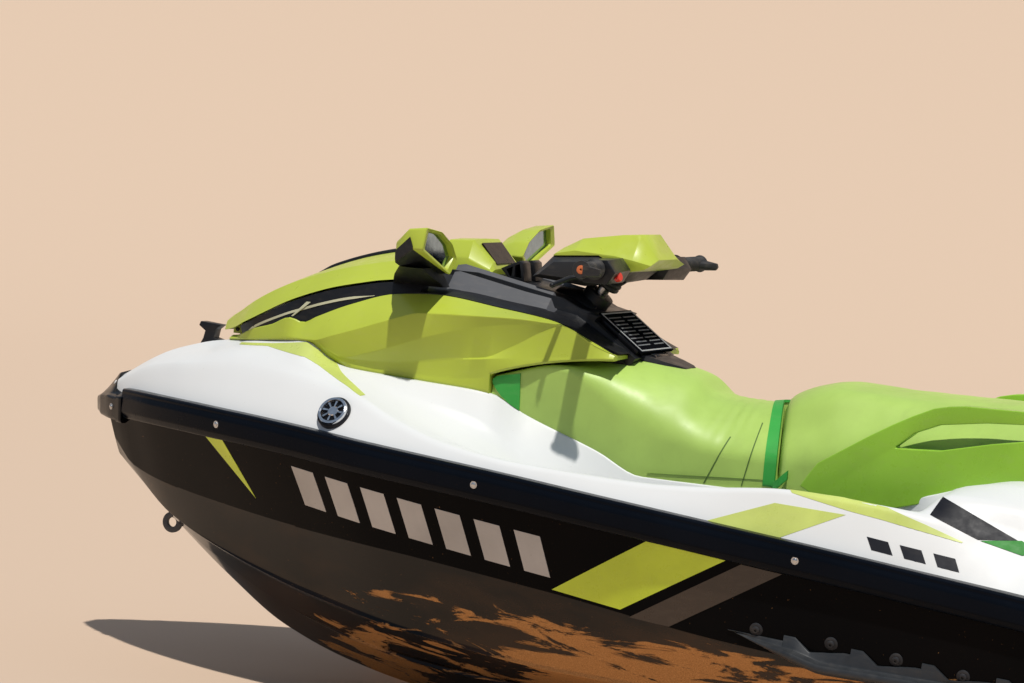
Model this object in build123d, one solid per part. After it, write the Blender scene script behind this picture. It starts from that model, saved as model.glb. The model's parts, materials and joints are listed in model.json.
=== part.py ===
# A three-seat jet-drive personal watercraft, in millimetres.
# +X points to the bow, +Y to port and +Z up. The origin lies under the middle of the craft,
# on the floor that its keel flat stands on. Stations are given as s, measured aft from the bow tip.
from build123d import *
import math
import os

os.makedirs("parts", exist_ok=True)

# Where the main masses end, and how far the stern bumpers reach behind the deck.
HULL_END_S = 3262
DECK_END_S = 3325
STERN_REACH = 43
LENGTH = DECK_END_S + STERN_REACH
BOW_X = LENGTH / 2

# Hull lines: station s, half breadth y, height z. Each line is fair through its few points.
KEEL = [(62, 8, 468), (130, 10, 410), (250, 14, 314), (400, 20, 206), (560, 28, 110), (750, 34, 46),
        (950, 40, 10), (1100, 46, 0), (2200, 110, 0), (2700, 150, 0), (HULL_END_S, 150, 0)]
CHINE = [(62, 22, 486), (130, 36, 428), (250, 74, 348), (400, 132, 302), (560, 190, 268), (718, 245, 241),
         (1030, 330, 198), (1470, 400, 168), (2000, 440, 165), (2700, 455, 170), (HULL_END_S, 448, 178)]
KNUCKLE = [(62, 40, 512), (130, 62, 454), (250, 124, 430), (400, 192, 414), (727, 335, 394), (992, 438, 386),
           (1424, 520, 356), (1865, 560, 308), (2500, 574, 265), (HULL_END_S, 556, 242)]
SHEER = [(62, 96, 566), (130, 158, 576), (250, 238, 581), (400, 318, 583), (560, 388, 582), (750, 455, 576),
         (932, 508, 565), (1265, 566, 545), (1580, 586, 518), (2037, 593, 477), (2528, 593, 429),
         (3000, 577, 392), (DECK_END_S, 545, 374)]

# The footwells' floor, with the engine bay between them.
FLOOR_S0 = 1520
FLOOR_S1 = 2150
FLOOR_Z = 372

# Deck lines, from the sheer up and inboard: shoulder, gunwale crest, its inner edge, footwell and ridge.
SHOULDER = [(62, 92, 604), (130, 152, 618), (250, 230, 634), (400, 309, 641), (560, 380, 641), (750, 447, 634),
            (932, 500, 621), (1265, 556, 602), (1580, 576, 574), (2037, 583, 534), (2528, 582, 486),
            (3000, 564, 438), (DECK_END_S, 532, 412)]
CREST = [(62, 66, 652), (190, 124, 706), (330, 206, 728), (524, 292, 742), (660, 342, 744), (850, 398, 732),
         (1000, 458, 690), (1150, 508, 656), (1340, 538, 636), (1641, 538, 627), (1781, 535, 634),
         (1990, 532, 653), (2098, 530, 650), (2218, 524, 643), (2327, 512, 622), (2435, 498, 597),
         (2516, 488, 573), (2700, 474, 520), (2860, 470, 480), (2960, 490, 436), (DECK_END_S, 482, 420)]
CREST_IN = [(62, 56, 656), (190, 106, 716), (330, 184, 742), (524, 262, 770), (660, 318, 764), (850, 372, 738),
            (1000, 420, 690), (1150, 472, 654), (1340, 504, 632), (1641, 500, 622), (1990, 490, 646),
            (2218, 488, 634), (2327, 494, 640), (2435, 474, 622), (2600, 448, 590), (2860, 440, 530),
            (2960, 440, 434), (DECK_END_S, 430, 420)]
FLOOR_OUT = [(62, 46, 660), (190, 88, 724), (330, 150, 756), (524, 232, 788), (660, 292, 786), (735, 322, 770),
             (850, 346, 746), (1000, 378, 694), (1150, 400, 640), (1340, 440, 500), (FLOOR_S0, 456, FLOOR_Z),
             (FLOOR_S1, 456, FLOOR_Z), (2240, 460, 600), (2318, 462, 676), (2436, 446, 668), (2600, 410, 640),
             (2860, 395, 600), (2960, 400, 434), (DECK_END_S, 380, 420)]
FLOOR_IN = [(62, 36, 664), (190, 66, 734), (330, 104, 768), (524, 200, 802), (660, 268, 806), (735, 290, 780),
            (850, 312, 756), (1000, 328, 712), (1150, 310, 668), (1340, 282, 520), (FLOOR_S0, 262, FLOOR_Z),
            (FLOOR_S1, 262, FLOOR_Z), (2240, 330, 600), (2318, 356, 688), (2436, 352, 704), (2600, 340, 705),
            (2860, 320, 660), (2960, 330, 434), (DECK_END_S, 320, 420)]
RIDGE = [(62, 20, 667), (190, 36, 741), (257, 50, 764), (330, 70, 783), (440, 126, 800), (524, 170, 812),
         (600, 212, 822), (660, 244, 826), (735, 258, 790), (780, 268, 777), (850, 278, 771), (1000, 284, 764),
         (1100, 278, 760), (1150, 266, 755), (1228, 234, 714), (1409, 214, 647), (FLOOR_S0, 212, 602),
         (1900, 218, 602), (2111, 262, 620), (2237, 290, 655), (2318, 294, 682), (2436, 298, 708),
         (2600, 296, 712), (2860, 286, 704), (2960, 300, 434), (DECK_END_S, 290, 420)]

# The liner under the footwells drops into the hull between these stations: s, height z.
LINER_DROP = [(1200, 0), (1340, 90), (FLOOR_S0, 190), (FLOOR_S1, 130), (2240, 40), (2318, 0)]
LINER_LEDGE = 36
LINER_TAPER = 0.9

STATIONS = [62, 90, 130, 190, 257, 330, 400, 440, 524, 600, 660, 735, 780, 850, 905, 1000, 1100, 1150, 1228,
            1340, 1430, FLOOR_S0, 1641, 1781, 1900, 2050, FLOOR_S1, 2240, 2318, 2436, 2516, 2600, 2730, 2860,
            2960, 3100, HULL_END_S]

# Lifting strakes: where each starts, where it is full, its share of the way from keel to chine, width and depth.
STRAKES = [(620, 900, 0.46, 26, 9), (260, 700, 0.95, 30, 10)]

# Rub rail, bow bumper and stern bumpers.
RAIL_START_S = 130
RAIL_END_S = HULL_END_S
RAIL_OUT = 22
RAIL_UP = 36
RAIL_DOWN = 37
RAIL_LIP = 8
RAIL_WAIST = 4
STERN_CORNER = 190
SEAT_GAP = 0.3

# Storage bin in the foredeck.
BIN_S0 = 500
BIN_S1 = 880
BIN_HALF = 124
BIN_FLOOR_Z = 430
BIN_WALL = 6
BIN_FLANGE = 18
BIN_FLANGE_SIDE = 10
BIN_FLANGE_T = 4
BIN_SEAT_Z = 764
BIN_GAP = 4

# Engine bay and the engine block in it.
BAY_S0 = FLOOR_S0
BAY_S1 = FLOOR_S1
BAY_HALF = 164
BAY_FLOOR_Z = 112
ENGINE_LENGTH = 590
ENGINE_HALF = 150
ENGINE_HEIGHT = 400

# Jet pump, all on one line at height PUMP_Z.
PUMP_Z = 140
PUMP_BORE_R = 81
PUMP_OUT_R = 97
PUMP_S0 = 2720
PUMP_S1 = 2955
TUNNEL_S0 = 2700
TUNNEL_HALF = 130
TUNNEL_TOP_Z = 272
RECESS_S0 = 2920
RECESS_HALF = 152
RECESS_TOP_Z = 344
INTAKE_S0 = 2250
INTAKE_HALF = 86
PLATE_T = 12
IMPELLER_R = 76
IMPELLER_S0 = 2762
IMPELLER_S1 = 2850
HUB_R = 29
SHAFT_R = 12
SHAFT_FIT = 0.3
BLADES = 4
VANES = 6
VENTURI_S1 = 3088
OUTLET_R = 44
NOZZLE_PIVOT_S = 3100
NOZZLE_FRONT = 20
NOZZLE_BACK = 80
NOZZLE_FRONT_R = 72
NOZZLE_BACK_R = 50
NOZZLE_WALL = 8
EAR_Z = 78
EAR_T = 12
PIN_R = 6
PIN_FIT = 0.3
BUCKET_PIVOT_S = 3015
BUCKET_IN_R = 184
BUCKET_WALL = 7
BUCKET_HALF = 100
ARM_T = 8
BUCKET_SPAN = 70
BUCKET_REST = 77

# Hood, its hinge and the mirrors it carries.
HOOD_EDGE = [(352, 60, 812), (400, 110, 822), (457, 160, 846), (508, 174, 872), (578, 190, 905), (706, 208, 950),
             (835, 216, 977), (905, 216, 984)]
HOOD_SHOULDER = [(352, 50, 834), (400, 82, 862), (457, 118, 896), (508, 134, 924), (578, 148, 956), (706, 162, 1000),
                 (835, 168, 1028), (905, 168, 1040)]
HOOD_CROWN = [(352, 18, 846), (400, 28, 876), (457, 36, 908), (508, 44, 938), (578, 52, 972), (706, 60, 1022),
              (835, 64, 1054), (905, 64, 1068)]
HOOD_STATIONS = [352, 400, 457, 508, 578, 640, 706, 770, 835, 905]
HOOD_T = 9
HINGE_S = 376
HINGE_Z = 815
HINGE_PIN_R = 5
HINGE_BOSS_R = 10
HINGE_POST_FRONT = 2
HINGE_POST_BACK = 14
HOOD_GAP = 5

# Faceted side panels under the hood: lower lip, the fold above it, the crease and the top edge.
# Ahead of PANEL_STEP_S a panel stands on the deck, and behind it the panel's tail hangs over the seat.
PANEL_STEP_S = 1148
PANEL_STATIONS = [440, 470, 540, 600, 632, 684, 740, 800, 905, 1000, 1080, PANEL_STEP_S]
PANEL_REAR_STATIONS = [PANEL_STEP_S, 1213, 1300, 1387, 1450]
PANEL_LIP = [(352, 72, 788), (470, 156, 803), (684, 253, 824), (800, 268, 798), (900, 272, 794), (1060, 274, 796),
             (1146, 276, 804), (1300, 270, 845), (1387, 247, 858), (1450, 217, 863)]
PANEL_FOLD = [(352, 73, 790), (470, 157, 806), (684, 255, 831), (800, 270, 812), (900, 276, 832), (1060, 280, 852),
              (1146, 274, 852), (1213, 262, 884), (1300, 239, 927), (1387, 221, 884), (1450, 209, 865)]
PANEL_CREASE = [(352, 74, 792), (400, 112, 798), (470, 158, 809), (540, 196, 821), (600, 226, 832), (684, 262, 840),
                (791, 284, 874), (954, 292, 922), (1080, 290, 936), (1200, 272, 939), (1300, 240, 931),
                (1387, 220, 888), (1450, 206, 867)]
PANEL_TOP = [(352, 60, 800), (400, 92, 806), (440, 142, 816), (470, 158, 831), (540, 190, 850), (600, 214, 873),
             (632, 212, 866), (684, 223, 887), (761, 230, 921), (881, 236, 958), (990, 236, 967), (1144, 230, 952),
             (1271, 222, 936), (1387, 210, 892), (1450, 200, 869)]
PANEL_LIP_DEPTH = 34
PANEL_INNER_Y = 128
BAND_STATIONS = [440, 470, 540, 600, 632, 684, 740, 800, 905]
BAND_IN = 34
NOSE_STATIONS = [352, 400, 440]
NOSE_TOP_IN = 40
NOSE_GAP = 24

# Console, binnacle and glovebox.
CONSOLE_S0 = 915
SHOULDER_LINE = [(CONSOLE_S0, 168, 978), (985, 170, 976), (1215, 168, 944), (1296, 160, 938), (1390, 150, 893),
                 (1436, 140, 866)]
CONSOLE_TOP_Z = 1022
CONSOLE_RISE = 40
BINNACLE_END_S = 1036
LID_HALF = 105
LID_T = 12
LID_TOP_S = 1350
LID_TOP_Z = 947
LID_SLOPE = 35
LID_LENGTH = 118
LID_PIN_S = 1464
LID_PIN_Z = 864
LID_PIN_R = 3
LID_BARREL_R = 6.5
LID_TONGUE_HALF = 40
LID_POCKET_HALF = 80
LID_POCKET_DEPTH = 56

# Steering: a raked axis through this point.
STEER_S = 1330
STEER_Z = 1040
STEER_RAKE = 35
BAR_R = 11
GRIP_R = 18
GRIP_Y0 = 262
GRIP_Y1 = 395
GRIP_S = 1400
GRIP_Z = 1070

# Seats.
SEAT_TOP = [(1150, 168, 796), (1307, 180, 836), (1450, 128, 856), (1580, 112, 834), (1650, 104, 800),
            (1722, 100, 787), (1795, 102, 788), (1846, 108, 804)]
SEAT_SIDE = [(1150, 222, 772), (1307, 226, 790), (1450, 222, 770), (1580, 212, 730), (1722, 206, 700),
             (1846, 212, 700)]
DRIVER_STATIONS = [1150, 1228, 1340, 1409, 1450, 1520, 1600, 1670, 1750, 1800, 1846]
PASSENGER_TOP = [(1849, 116, 812), (1908, 128, 846), (1971, 136, 857), (2098, 142, 852), (2359, 146, 856),
                 (2700, 146, 866), (2840, 136, 850), (2860, 120, 836)]
PASSENGER_SIDE = [(1849, 214, 704), (1971, 226, 716), (2111, 238, 740), (2359, 246, 780), (2700, 246, 792),
                  (2840, 232, 786), (2860, 222, 780)]
PASSENGER_STATIONS = [1849, 1900, 1971, 2050, 2150, 2250, 2360, 2480, 2600, 2730, 2840, 2860]
SEAT_ROUND = 16


# Small fittings and sections.
CLEAT_HALF = 16
BOW_EYE = (220, 316)
BOW_EYE_R = 26
BOW_EYE_HOLE_R = 12
BOW_EYE_T = 10
FUEL_CAP = (841, 441, 684)
FUEL_CAP_TILT = 48
FUEL_CAP_R = 36
FUEL_CAP_T = 12
MAT_END_GAP = 22
PLATFORM_S0 = 2975
PLATFORM_S1 = DECK_END_S - 25
PLATFORM_HALF = 330
PLATFORM_T = 12
MAT_Y0 = 276
MAT_Y1 = 436
MAT_T = 5
PUMP_FLANGE_T = 14
VANE_T = 5
BLADE_PITCH = 400
BLADE_T = 5
SHAFT_GAP = 3
GRATE_RIM = 8
GRATE_SLOTS = 5
GRATE_BAR = 8
PIN_END_Z = 62
TRUNNION_R = 14
BUCKET_PIN_R = 8
NOZZLE_BOSS_R = 16
ARM_BOSS_R = 19
HINGE_HALF = 20
HINGE_LUG = 18
MIRROR_NOSE = [(352, 1050), (312, 1052), (282, 1040), (268, 1020), (276, 1000), (352, 1014)]
MIRROR_BACK = [(384, 1112), (300, 1106), (244, 1078), (222, 1048), (246, 1012), (398, 1068)]
MIRROR_RIM = [(388, 1128), (297, 1117), (231, 1087), (197, 1051), (233, 1015), (405, 1077)]
MIRROR_STATIONS = (912, 962, 1012)
MIRROR_FOOT = [(985, 862, 990, 176, 240), (1008, 880, 990, 214, 320), (1026, 914, 985, 236, 340)]
MIRROR_DEPTH = 12
MIRROR_T = 4
MIRROR_FACE = 0.8
COLUMN_R = 36
COLUMN_TOP = -52
COLUMN_FOOT = -130
NECK_R = 15
NECK_TOP = 28
BAR_MIDDLE_S = 1362
BAR_MIDDLE_Z = 1064
BAR_BEND_Y = 120
BRAKE_LEVER = [(1352, 244, 1048), (1322, 262, 1040), (1308, 330, 1024)]
THROTTLE_LEVER = [(1352, -244, 1056), (1330, -262, 1052), (1340, -318, 1048)]
LEVER_R = 6
EYE_Y = 360
EYE_Z = 300
EYE_R = 20
EYE_T = 10
EYE_REACH = 22
EYE_HOLE_R = 11
RAIL_GRIP_Y0 = 252
RAIL_GRIP_Y1 = 284
GRAB_OUTLINE = [(1925, 636), (1945, 668), (1962, 692), (2020, 730), (2077, 767), (2125, 796), (2169, 820),
                (2217, 843), (2250, 851), (2287, 856), (2420, 859), (2600, 864), (2780, 866), (2840, 850),
                (2860, 820), (2860, 690), (2438, 690), (2240, 640), (2119, 604), (2026, 612), (1960, 618)]
GRAB_SLOT = [(2139, 748), (2240, 752), (2351, 779), (2440, 796), (2640, 796), (2664, 816), (2640, 834),
             (2424, 830), (2340, 824), (2234, 808), (2179, 784)]


def x_at(s):
    """The X of a station."""
    return BOW_X - s


def along(line, s):
    """The values of a line at station s, by a cubic that doesn't overshoot its points."""
    if s <= line[0][0]:
        return line[0][1:]
    if s >= line[-1][0]:
        return line[-1][1:]
    stations = [row[0] for row in line]
    i = max(k for k in range(len(line) - 1) if stations[k] <= s)
    width = stations[i + 1] - stations[i]
    t = (s - stations[i]) / width
    found = []
    for column in range(1, len(line[0])):
        slopes = [slope_at(line, k, column) for k in (i, i + 1)]
        start, end = line[i][column], line[i + 1][column]
        found.append(start * (2 * t**3 - 3 * t**2 + 1) + end * (3 * t**2 - 2 * t**3)
                     + width * slopes[0] * (t**3 - 2 * t**2 + t) + width * slopes[1] * (t**3 - t**2))
    return tuple(found)


def slope_at(line, k, column):
    """The slope of a line at its point k: the harmonic mean of its neighbours, or none at a peak."""
    if k == 0 or k == len(line) - 1:
        other = 1 if k == 0 else k - 1
        return (line[other][column] - line[k][column]) / (line[other][0] - line[k][0])
    before = (line[k][column] - line[k - 1][column]) / (line[k][0] - line[k - 1][0])
    after = (line[k + 1][column] - line[k][column]) / (line[k + 1][0] - line[k][0])
    if before * after <= 0:
        return 0
    return 2 * before * after / (before + after)


def ring(s, half):
    """A closed section at station s, from its port half in (y, z), listed from the bottom up."""
    points = [(x_at(s), y, z) for y, z in half] + [(x_at(s), -y, z) for y, z in reversed(half)]
    return Wire.make_polygon([Vector(*p) for p in points], close=True)


def side_ring(s, corners):
    """A closed section on the port side only."""
    return Wire.make_polygon([Vector(x_at(s), y, z) for y, z in corners], close=True)


def skin(wires):
    """A straight-ruled solid through closed sections."""
    return Solid.make_loft(wires, ruled=True)


def other_side(shape):
    """The starboard twin of a port piece."""
    return mirror(shape, about=Plane.XZ)


def block(s0, s1, y0, y1, z0, z1):
    """A box between two stations."""
    size = (abs(s1 - s0), abs(y1 - y0), abs(z1 - z0))
    place = ((x_at(s0) + x_at(s1)) / 2, (y0 + y1) / 2, (z0 + z1) / 2)
    return Pos(*place) * Box(*size)


def side_plate(outline, y0, y1):
    """A plate with an outline in (s, z), from y0 to y1."""
    wire = Wire.make_polygon([Vector(x_at(s), y0, z) for s, z in outline], close=True)
    return extrude(Face(wire), amount=abs(y1 - y0), dir=(0, 1 if y1 > y0 else -1, 0))


def rod_x(s0, s1, radius, z, y=0):
    """A round bar that runs fore and aft."""
    middle = (x_at(s0) + x_at(s1)) / 2
    return Pos(middle, y, z) * Rot(0, 90, 0) * Cylinder(radius, abs(s1 - s0))


def rod_y(s, z, y0, y1, radius):
    """A round bar that runs athwartships."""
    return Pos(x_at(s), (y0 + y1) / 2, z) * Rot(90, 0, 0) * Cylinder(radius, abs(y1 - y0))


def rod_z(s, y, z0, z1, radius):
    """An upright round bar."""
    return Pos(x_at(s), y, (z0 + z1) / 2) * Cylinder(radius, abs(z1 - z0))


def cone_x(s0, r0, s1, r1, z):
    """A cone that runs fore and aft, with radius r0 at s0 and r1 at s1."""
    middle = (x_at(s0) + x_at(s1)) / 2
    return Pos(middle, 0, z) * Rot(0, -90, 0) * Cone(r0, r1, abs(s1 - s0))


def liner(s):
    """The two points where the deck liner drops into the hull."""
    sheer_y, sheer_z = along(SHEER, s)
    ledge_y = sheer_y - min(LINER_LEDGE, 0.3 * sheer_y)
    drop = max(0.0, along(LINER_DROP, s)[0]) if LINER_DROP[0][0] < s < LINER_DROP[-1][0] else 0.0
    return [(ledge_y, sheer_z), (ledge_y * LINER_TAPER, sheer_z - drop)]


def strake_corners(s, keel, chine, strake):
    """A strake's ledge, lip and outer foot on the line from keel to chine, small before its start."""
    start, full, share, width, depth = strake
    size = min(1.0, max(0.08, (s - start) / (full - start)))
    line_y, line_z = chine[0] - keel[0], chine[1] - keel[1]
    length = math.hypot(line_y, line_z)
    across = (line_y / length, line_z / length)
    foot = (keel[0] + share * line_y, keel[1] + share * line_z)
    inner = (foot[0] - across[0] * width * size, foot[1] - across[1] * width * size)
    lip = (foot[0] + across[1] * depth * size, foot[1] - across[0] * depth * size)
    return [inner, lip, foot]


def make_hull_block():
    """The moulded hull with its strakes as a solid, before its bays and tunnels are cut."""
    rings = []
    for s in STATIONS:
        keel, chine = along(KEEL, s), along(CHINE, s)
        strakes = [corner for strake in STRAKES for corner in strake_corners(s, keel, chine, strake)]
        rings.append(ring(s, [keel] + strakes + [chine, along(KNUCKLE, s), along(SHEER, s)] + liner(s)))
    return skin(rings)


def make_deck_block():
    """The deck moulding, with its footwells, as a solid before its openings are cut."""
    rings = []
    for s in STATIONS + [DECK_END_S]:
        top = [along(line, s) for line in (SHEER, SHOULDER, CREST, CREST_IN, FLOOR_OUT, FLOOR_IN, RIDGE)]
        rings.append(ring(s, list(reversed(liner(s))) + top))
    return skin(rings)


def cut_for_bin():
    """The pocket that the storage bin hangs in, and the flat sunk seat of its flange."""
    half = BIN_HALF + BIN_FLANGE_SIDE + BIN_GAP
    seat = block(BIN_S0 - BIN_FLANGE - BIN_GAP, BIN_S1 + BIN_FLANGE + BIN_GAP, -half, half, BIN_SEAT_Z, 900)
    return seat + block(BIN_S0, BIN_S1, -BIN_HALF, BIN_HALF, BIN_FLOOR_Z, 900)


def cut_for_engine():
    """The bay under the seats, open to the seat bases."""
    return block(BAY_S0, BAY_S1, -BAY_HALF, BAY_HALF, BAY_FLOOR_Z, 800)


def cut_for_jet():
    """The intake duct, pump tunnel and the recess round the nozzle, with the shaft's hole."""
    duct = side_plate([(INTAKE_S0, -1), (TUNNEL_S0 + 1, -1), (TUNNEL_S0 + 1, PUMP_Z + PUMP_BORE_R),
                       (TUNNEL_S0 - 60, PUMP_Z + PUMP_BORE_R)], -INTAKE_HALF, INTAKE_HALF)
    tunnel = block(TUNNEL_S0, HULL_END_S + 1, -TUNNEL_HALF, TUNNEL_HALF, -1, TUNNEL_TOP_Z)
    recess = block(RECESS_S0, HULL_END_S + 1, -RECESS_HALF, RECESS_HALF, PLATE_T, RECESS_TOP_Z)
    shaft_hole = rod_x(BAY_S1 - 1, TUNNEL_S0, SHAFT_R + 5, PUMP_Z)
    return duct + tunnel + recess + shaft_hole


def make_hull(hull_block):
    return hull_block - cut_for_bin() - cut_for_engine() - cut_for_jet()


def make_deck(deck_block):
    return deck_block - cut_for_bin() - cut_for_engine()


def make_bin():
    """An open-topped bin whose flange rests on its seat in the foredeck."""
    rim_z = BIN_SEAT_Z + BIN_FLANGE_T
    half = BIN_HALF + BIN_FLANGE_SIDE
    body = block(BIN_S0, BIN_S1, -BIN_HALF, BIN_HALF, BIN_FLOOR_Z, rim_z)
    inside = block(BIN_S0 + BIN_WALL, BIN_S1 - BIN_WALL, -BIN_HALF + BIN_WALL, BIN_HALF - BIN_WALL,
                   BIN_FLOOR_Z + BIN_WALL, rim_z + 1)
    flange = block(BIN_S0 - BIN_FLANGE, BIN_S1 + BIN_FLANGE, -half, half, BIN_SEAT_Z, rim_z)
    return body + flange - inside


def make_engine():
    s0 = (BAY_S0 + BAY_S1 - ENGINE_LENGTH) / 2
    return block(s0, s0 + ENGINE_LENGTH, -ENGINE_HALF, ENGINE_HALF, BAY_FLOOR_Z, BAY_FLOOR_Z + ENGINE_HEIGHT)


def rail_corners(s):
    """The rub rail's section, which wraps the sheer."""
    sheer_y, sheer_z = along(SHEER, s)
    knuckle_y, knuckle_z = along(KNUCKLE, s)
    shoulder_y, shoulder_z = along(SHOULDER, s)
    low_y = sheer_y + (knuckle_y - sheer_y) * RAIL_DOWN / (sheer_z - knuckle_z)
    high_y = sheer_y + (shoulder_y - sheer_y) * RAIL_UP / (shoulder_z - sheer_z)
    face_y = sheer_y + RAIL_OUT
    return [(low_y + SEAT_GAP, sheer_z - RAIL_DOWN), (face_y - 2 * RAIL_LIP, sheer_z - RAIL_DOWN),
            (face_y, sheer_z - RAIL_DOWN + 2 * RAIL_LIP), (face_y, sheer_z + RAIL_UP - 2.5 * RAIL_LIP),
            (face_y - RAIL_WAIST, sheer_z + RAIL_UP - 1.5 * RAIL_LIP),
            (face_y - RAIL_LIP, sheer_z + RAIL_UP), (high_y + SEAT_GAP, sheer_z + RAIL_UP),
            (sheer_y + SEAT_GAP, sheer_z)]


def make_rail():
    stations = [s for s in STATIONS if RAIL_START_S <= s <= RAIL_END_S]
    return skin([side_ring(s, rail_corners(s)) for s in stations])


def make_bow_bumper(hull_block, deck_block):
    """A faceted cap round the stem head, with wings that end at the rails."""
    outline = {0: [(24, 570), (28, 604), (12, 609)],
               24: [(66, 558), (70, 612), (30, 630)],
               64: [(116, 548), (124, 622), (54, 670)],
               RAIL_START_S - SEAT_GAP: [(180, 541), (187, 640), (122, 696)]}
    cap = skin([ring(s, half) for s, half in outline.items()])
    return cap - hull_block - deck_block


def make_stern_bumper(hull_block, deck_block):
    """A corner cap where the rail meets the platform's end."""
    sheer_y, sheer_z = along(SHEER, RAIL_END_S)
    s0 = RAIL_END_S
    low = sheer_z - RAIL_DOWN
    high = sheer_z + RAIL_UP
    corner = side_plate([(s0, low), (LENGTH - 20, low + 6), (LENGTH, low + 18), (LENGTH, high - 14),
                         (LENGTH - 14, high), (s0, high)], sheer_y - STERN_CORNER, sheer_y + RAIL_OUT)
    return corner - hull_block - deck_block


def make_platform_mat(deck_block):
    """A mat on the boarding platform."""
    z = along(RIDGE, (PLATFORM_S0 + PLATFORM_S1) / 2)[1]
    mat = block(PLATFORM_S0, PLATFORM_S1, -PLATFORM_HALF, PLATFORM_HALF, z - 20, z + PLATFORM_T)
    return mat - deck_block


def make_sponson(hull_block, deck_block):
    """A toothed fin plate bolted to the hull's side."""
    outline = [(1881, 342), (1955, 292), (2093, 275), (2246, 270), (2600, 262), (2640, 290), (2610, 330)]
    teeth = [(2500, 322), (2480, 300), (2400, 318), (2335, 326), (2312, 304), (2240, 322), (2175, 338),
             (2152, 312), (2080, 332), (2020, 352), (1998, 326)]
    plate = side_plate(outline + teeth, 500, 604)
    return plate - hull_block - deck_block


def make_cleat(deck_block):
    """The mooring hook on the bow."""
    outline = [(256, 750), (312, 750), (316, 781), (300, 785), (304, 806), (318, 818), (262, 822), (258, 812),
               (276, 800), (272, 782)]
    return side_plate(outline, -CLEAT_HALF, CLEAT_HALF) - deck_block


def make_bow_eye(hull_block):
    """The towing eye on the stem."""
    s, z = BOW_EYE
    eye = rod_y(s, z, -BOW_EYE_T / 2, BOW_EYE_T / 2, BOW_EYE_R)
    return eye - rod_y(s, z, -BOW_EYE_T, BOW_EYE_T, BOW_EYE_HOLE_R) - hull_block


def make_fuel_cap(deck_block):
    """The round filler cap, square to the foredeck's flank."""
    s, y, z = FUEL_CAP
    place = Pos(x_at(s), y, z) * Rot(-FUEL_CAP_TILT, 0, 0)
    return place * Cylinder(FUEL_CAP_R, 2 * FUEL_CAP_T) - deck_block


def make_mats():
    """A mat on each footwell floor."""
    mat = block(FLOOR_S0 + MAT_END_GAP, FLOOR_S1 - MAT_END_GAP, MAT_Y0, MAT_Y1, FLOOR_Z, FLOOR_Z + MAT_T)
    return Compound(children=[mat, other_side(mat)])


def bore(radius, s0, s1):
    return rod_x(s0, s1, radius, PUMP_Z)


def around_pump(shape, count):
    """Copies of a shape in a ring round the pump's line."""
    copies = []
    for i in range(count):
        turn = Pos(0, 0, PUMP_Z) * Rot(360 * i / count, 0, 0) * Pos(0, 0, -PUMP_Z)
        copies.append(turn * shape)
    return copies


def make_pump():
    """The pump's barrel, its mounting flange and the stator vanes that carry the shaft's bearing."""
    flange = block(PUMP_S0, PUMP_S0 + PUMP_FLANGE_T, -TUNNEL_HALF, TUNNEL_HALF, PLATE_T, TUNNEL_TOP_Z)
    shell = flange + bore(PUMP_OUT_R, PUMP_S0, PUMP_S1) - bore(PUMP_BORE_R, PUMP_S0 - 1, PUMP_S1 + 1)
    hub_s0 = IMPELLER_S1 + 12
    vane = block(hub_s0 + 6, PUMP_S1 - 8, -VANE_T / 2, VANE_T / 2, PUMP_Z + HUB_R - 4, PUMP_Z + PUMP_BORE_R + 2)
    for copy in around_pump(vane, VANES):
        shell += copy
    return shell + bore(HUB_R, hub_s0, PUMP_S1 - 4) - bore(SHAFT_R + SHAFT_FIT, hub_s0 - 1, PUMP_S1 + 1)


def blade_ring(radius):
    """One blade's section at a radius, tilted by the pitch."""
    lean = math.atan(2 * math.pi * radius / BLADE_PITCH)
    half_length = (IMPELLER_S1 - IMPELLER_S0 - 16) / 2
    middle = (x_at(IMPELLER_S0) + x_at(IMPELLER_S1)) / 2
    corners = []
    for along_x, side in ((-1, -1), (1, -1), (1, 1), (-1, 1)):
        x = middle + along_x * half_length - side * BLADE_T / 2 * math.sin(lean)
        y = along_x * half_length * math.tan(lean) + side * BLADE_T / 2 * math.cos(lean)
        corners.append(Vector(x, y, PUMP_Z + radius))
    return Wire.make_polygon(corners, close=True)


def make_impeller():
    """A hub with twisted blades on the drive shaft."""
    blade = skin([blade_ring(r) for r in (HUB_R - 6, (HUB_R + IMPELLER_R) / 2, IMPELLER_R + 10)])
    wheel = bore(HUB_R, IMPELLER_S0, IMPELLER_S1)
    for copy in around_pump(blade, BLADES):
        wheel += copy
    wheel = wheel & bore(IMPELLER_R, IMPELLER_S0, IMPELLER_S1)
    nose = cone_x(IMPELLER_S0 - HUB_R, SHAFT_R, IMPELLER_S0, HUB_R, PUMP_Z)
    engine_end = (BAY_S0 + BAY_S1 + ENGINE_LENGTH) / 2
    return wheel + nose + bore(SHAFT_R, engine_end + SHAFT_GAP, PUMP_S1 - 12)


def make_ride_plate():
    return block(TUNNEL_S0, HULL_END_S - 6, -TUNNEL_HALF, TUNNEL_HALF, 0, PLATE_T)


def make_intake_grate():
    """Bars along the intake's mouth, in a frame flush with the keel flat."""
    roof = PLATE_T * (TUNNEL_S0 - 60 - INTAKE_S0) / (PUMP_Z + PUMP_BORE_R + 1)
    outline = [(INTAKE_S0 + 2, 0), (TUNNEL_S0, 0), (TUNNEL_S0, PLATE_T), (INTAKE_S0 + 2 + roof + 2, PLATE_T)]
    plate = side_plate(outline, -INTAKE_HALF, INTAKE_HALF)
    pitch = 2 * (INTAKE_HALF - GRATE_RIM) / GRATE_SLOTS
    for i in range(GRATE_SLOTS):
        y = -INTAKE_HALF + GRATE_RIM + pitch * i
        plate -= block(INTAKE_S0 + 50, TUNNEL_S0 - 22, y + GRATE_BAR / 2, y + pitch - GRATE_BAR / 2, -1, 20)
    return plate


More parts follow.
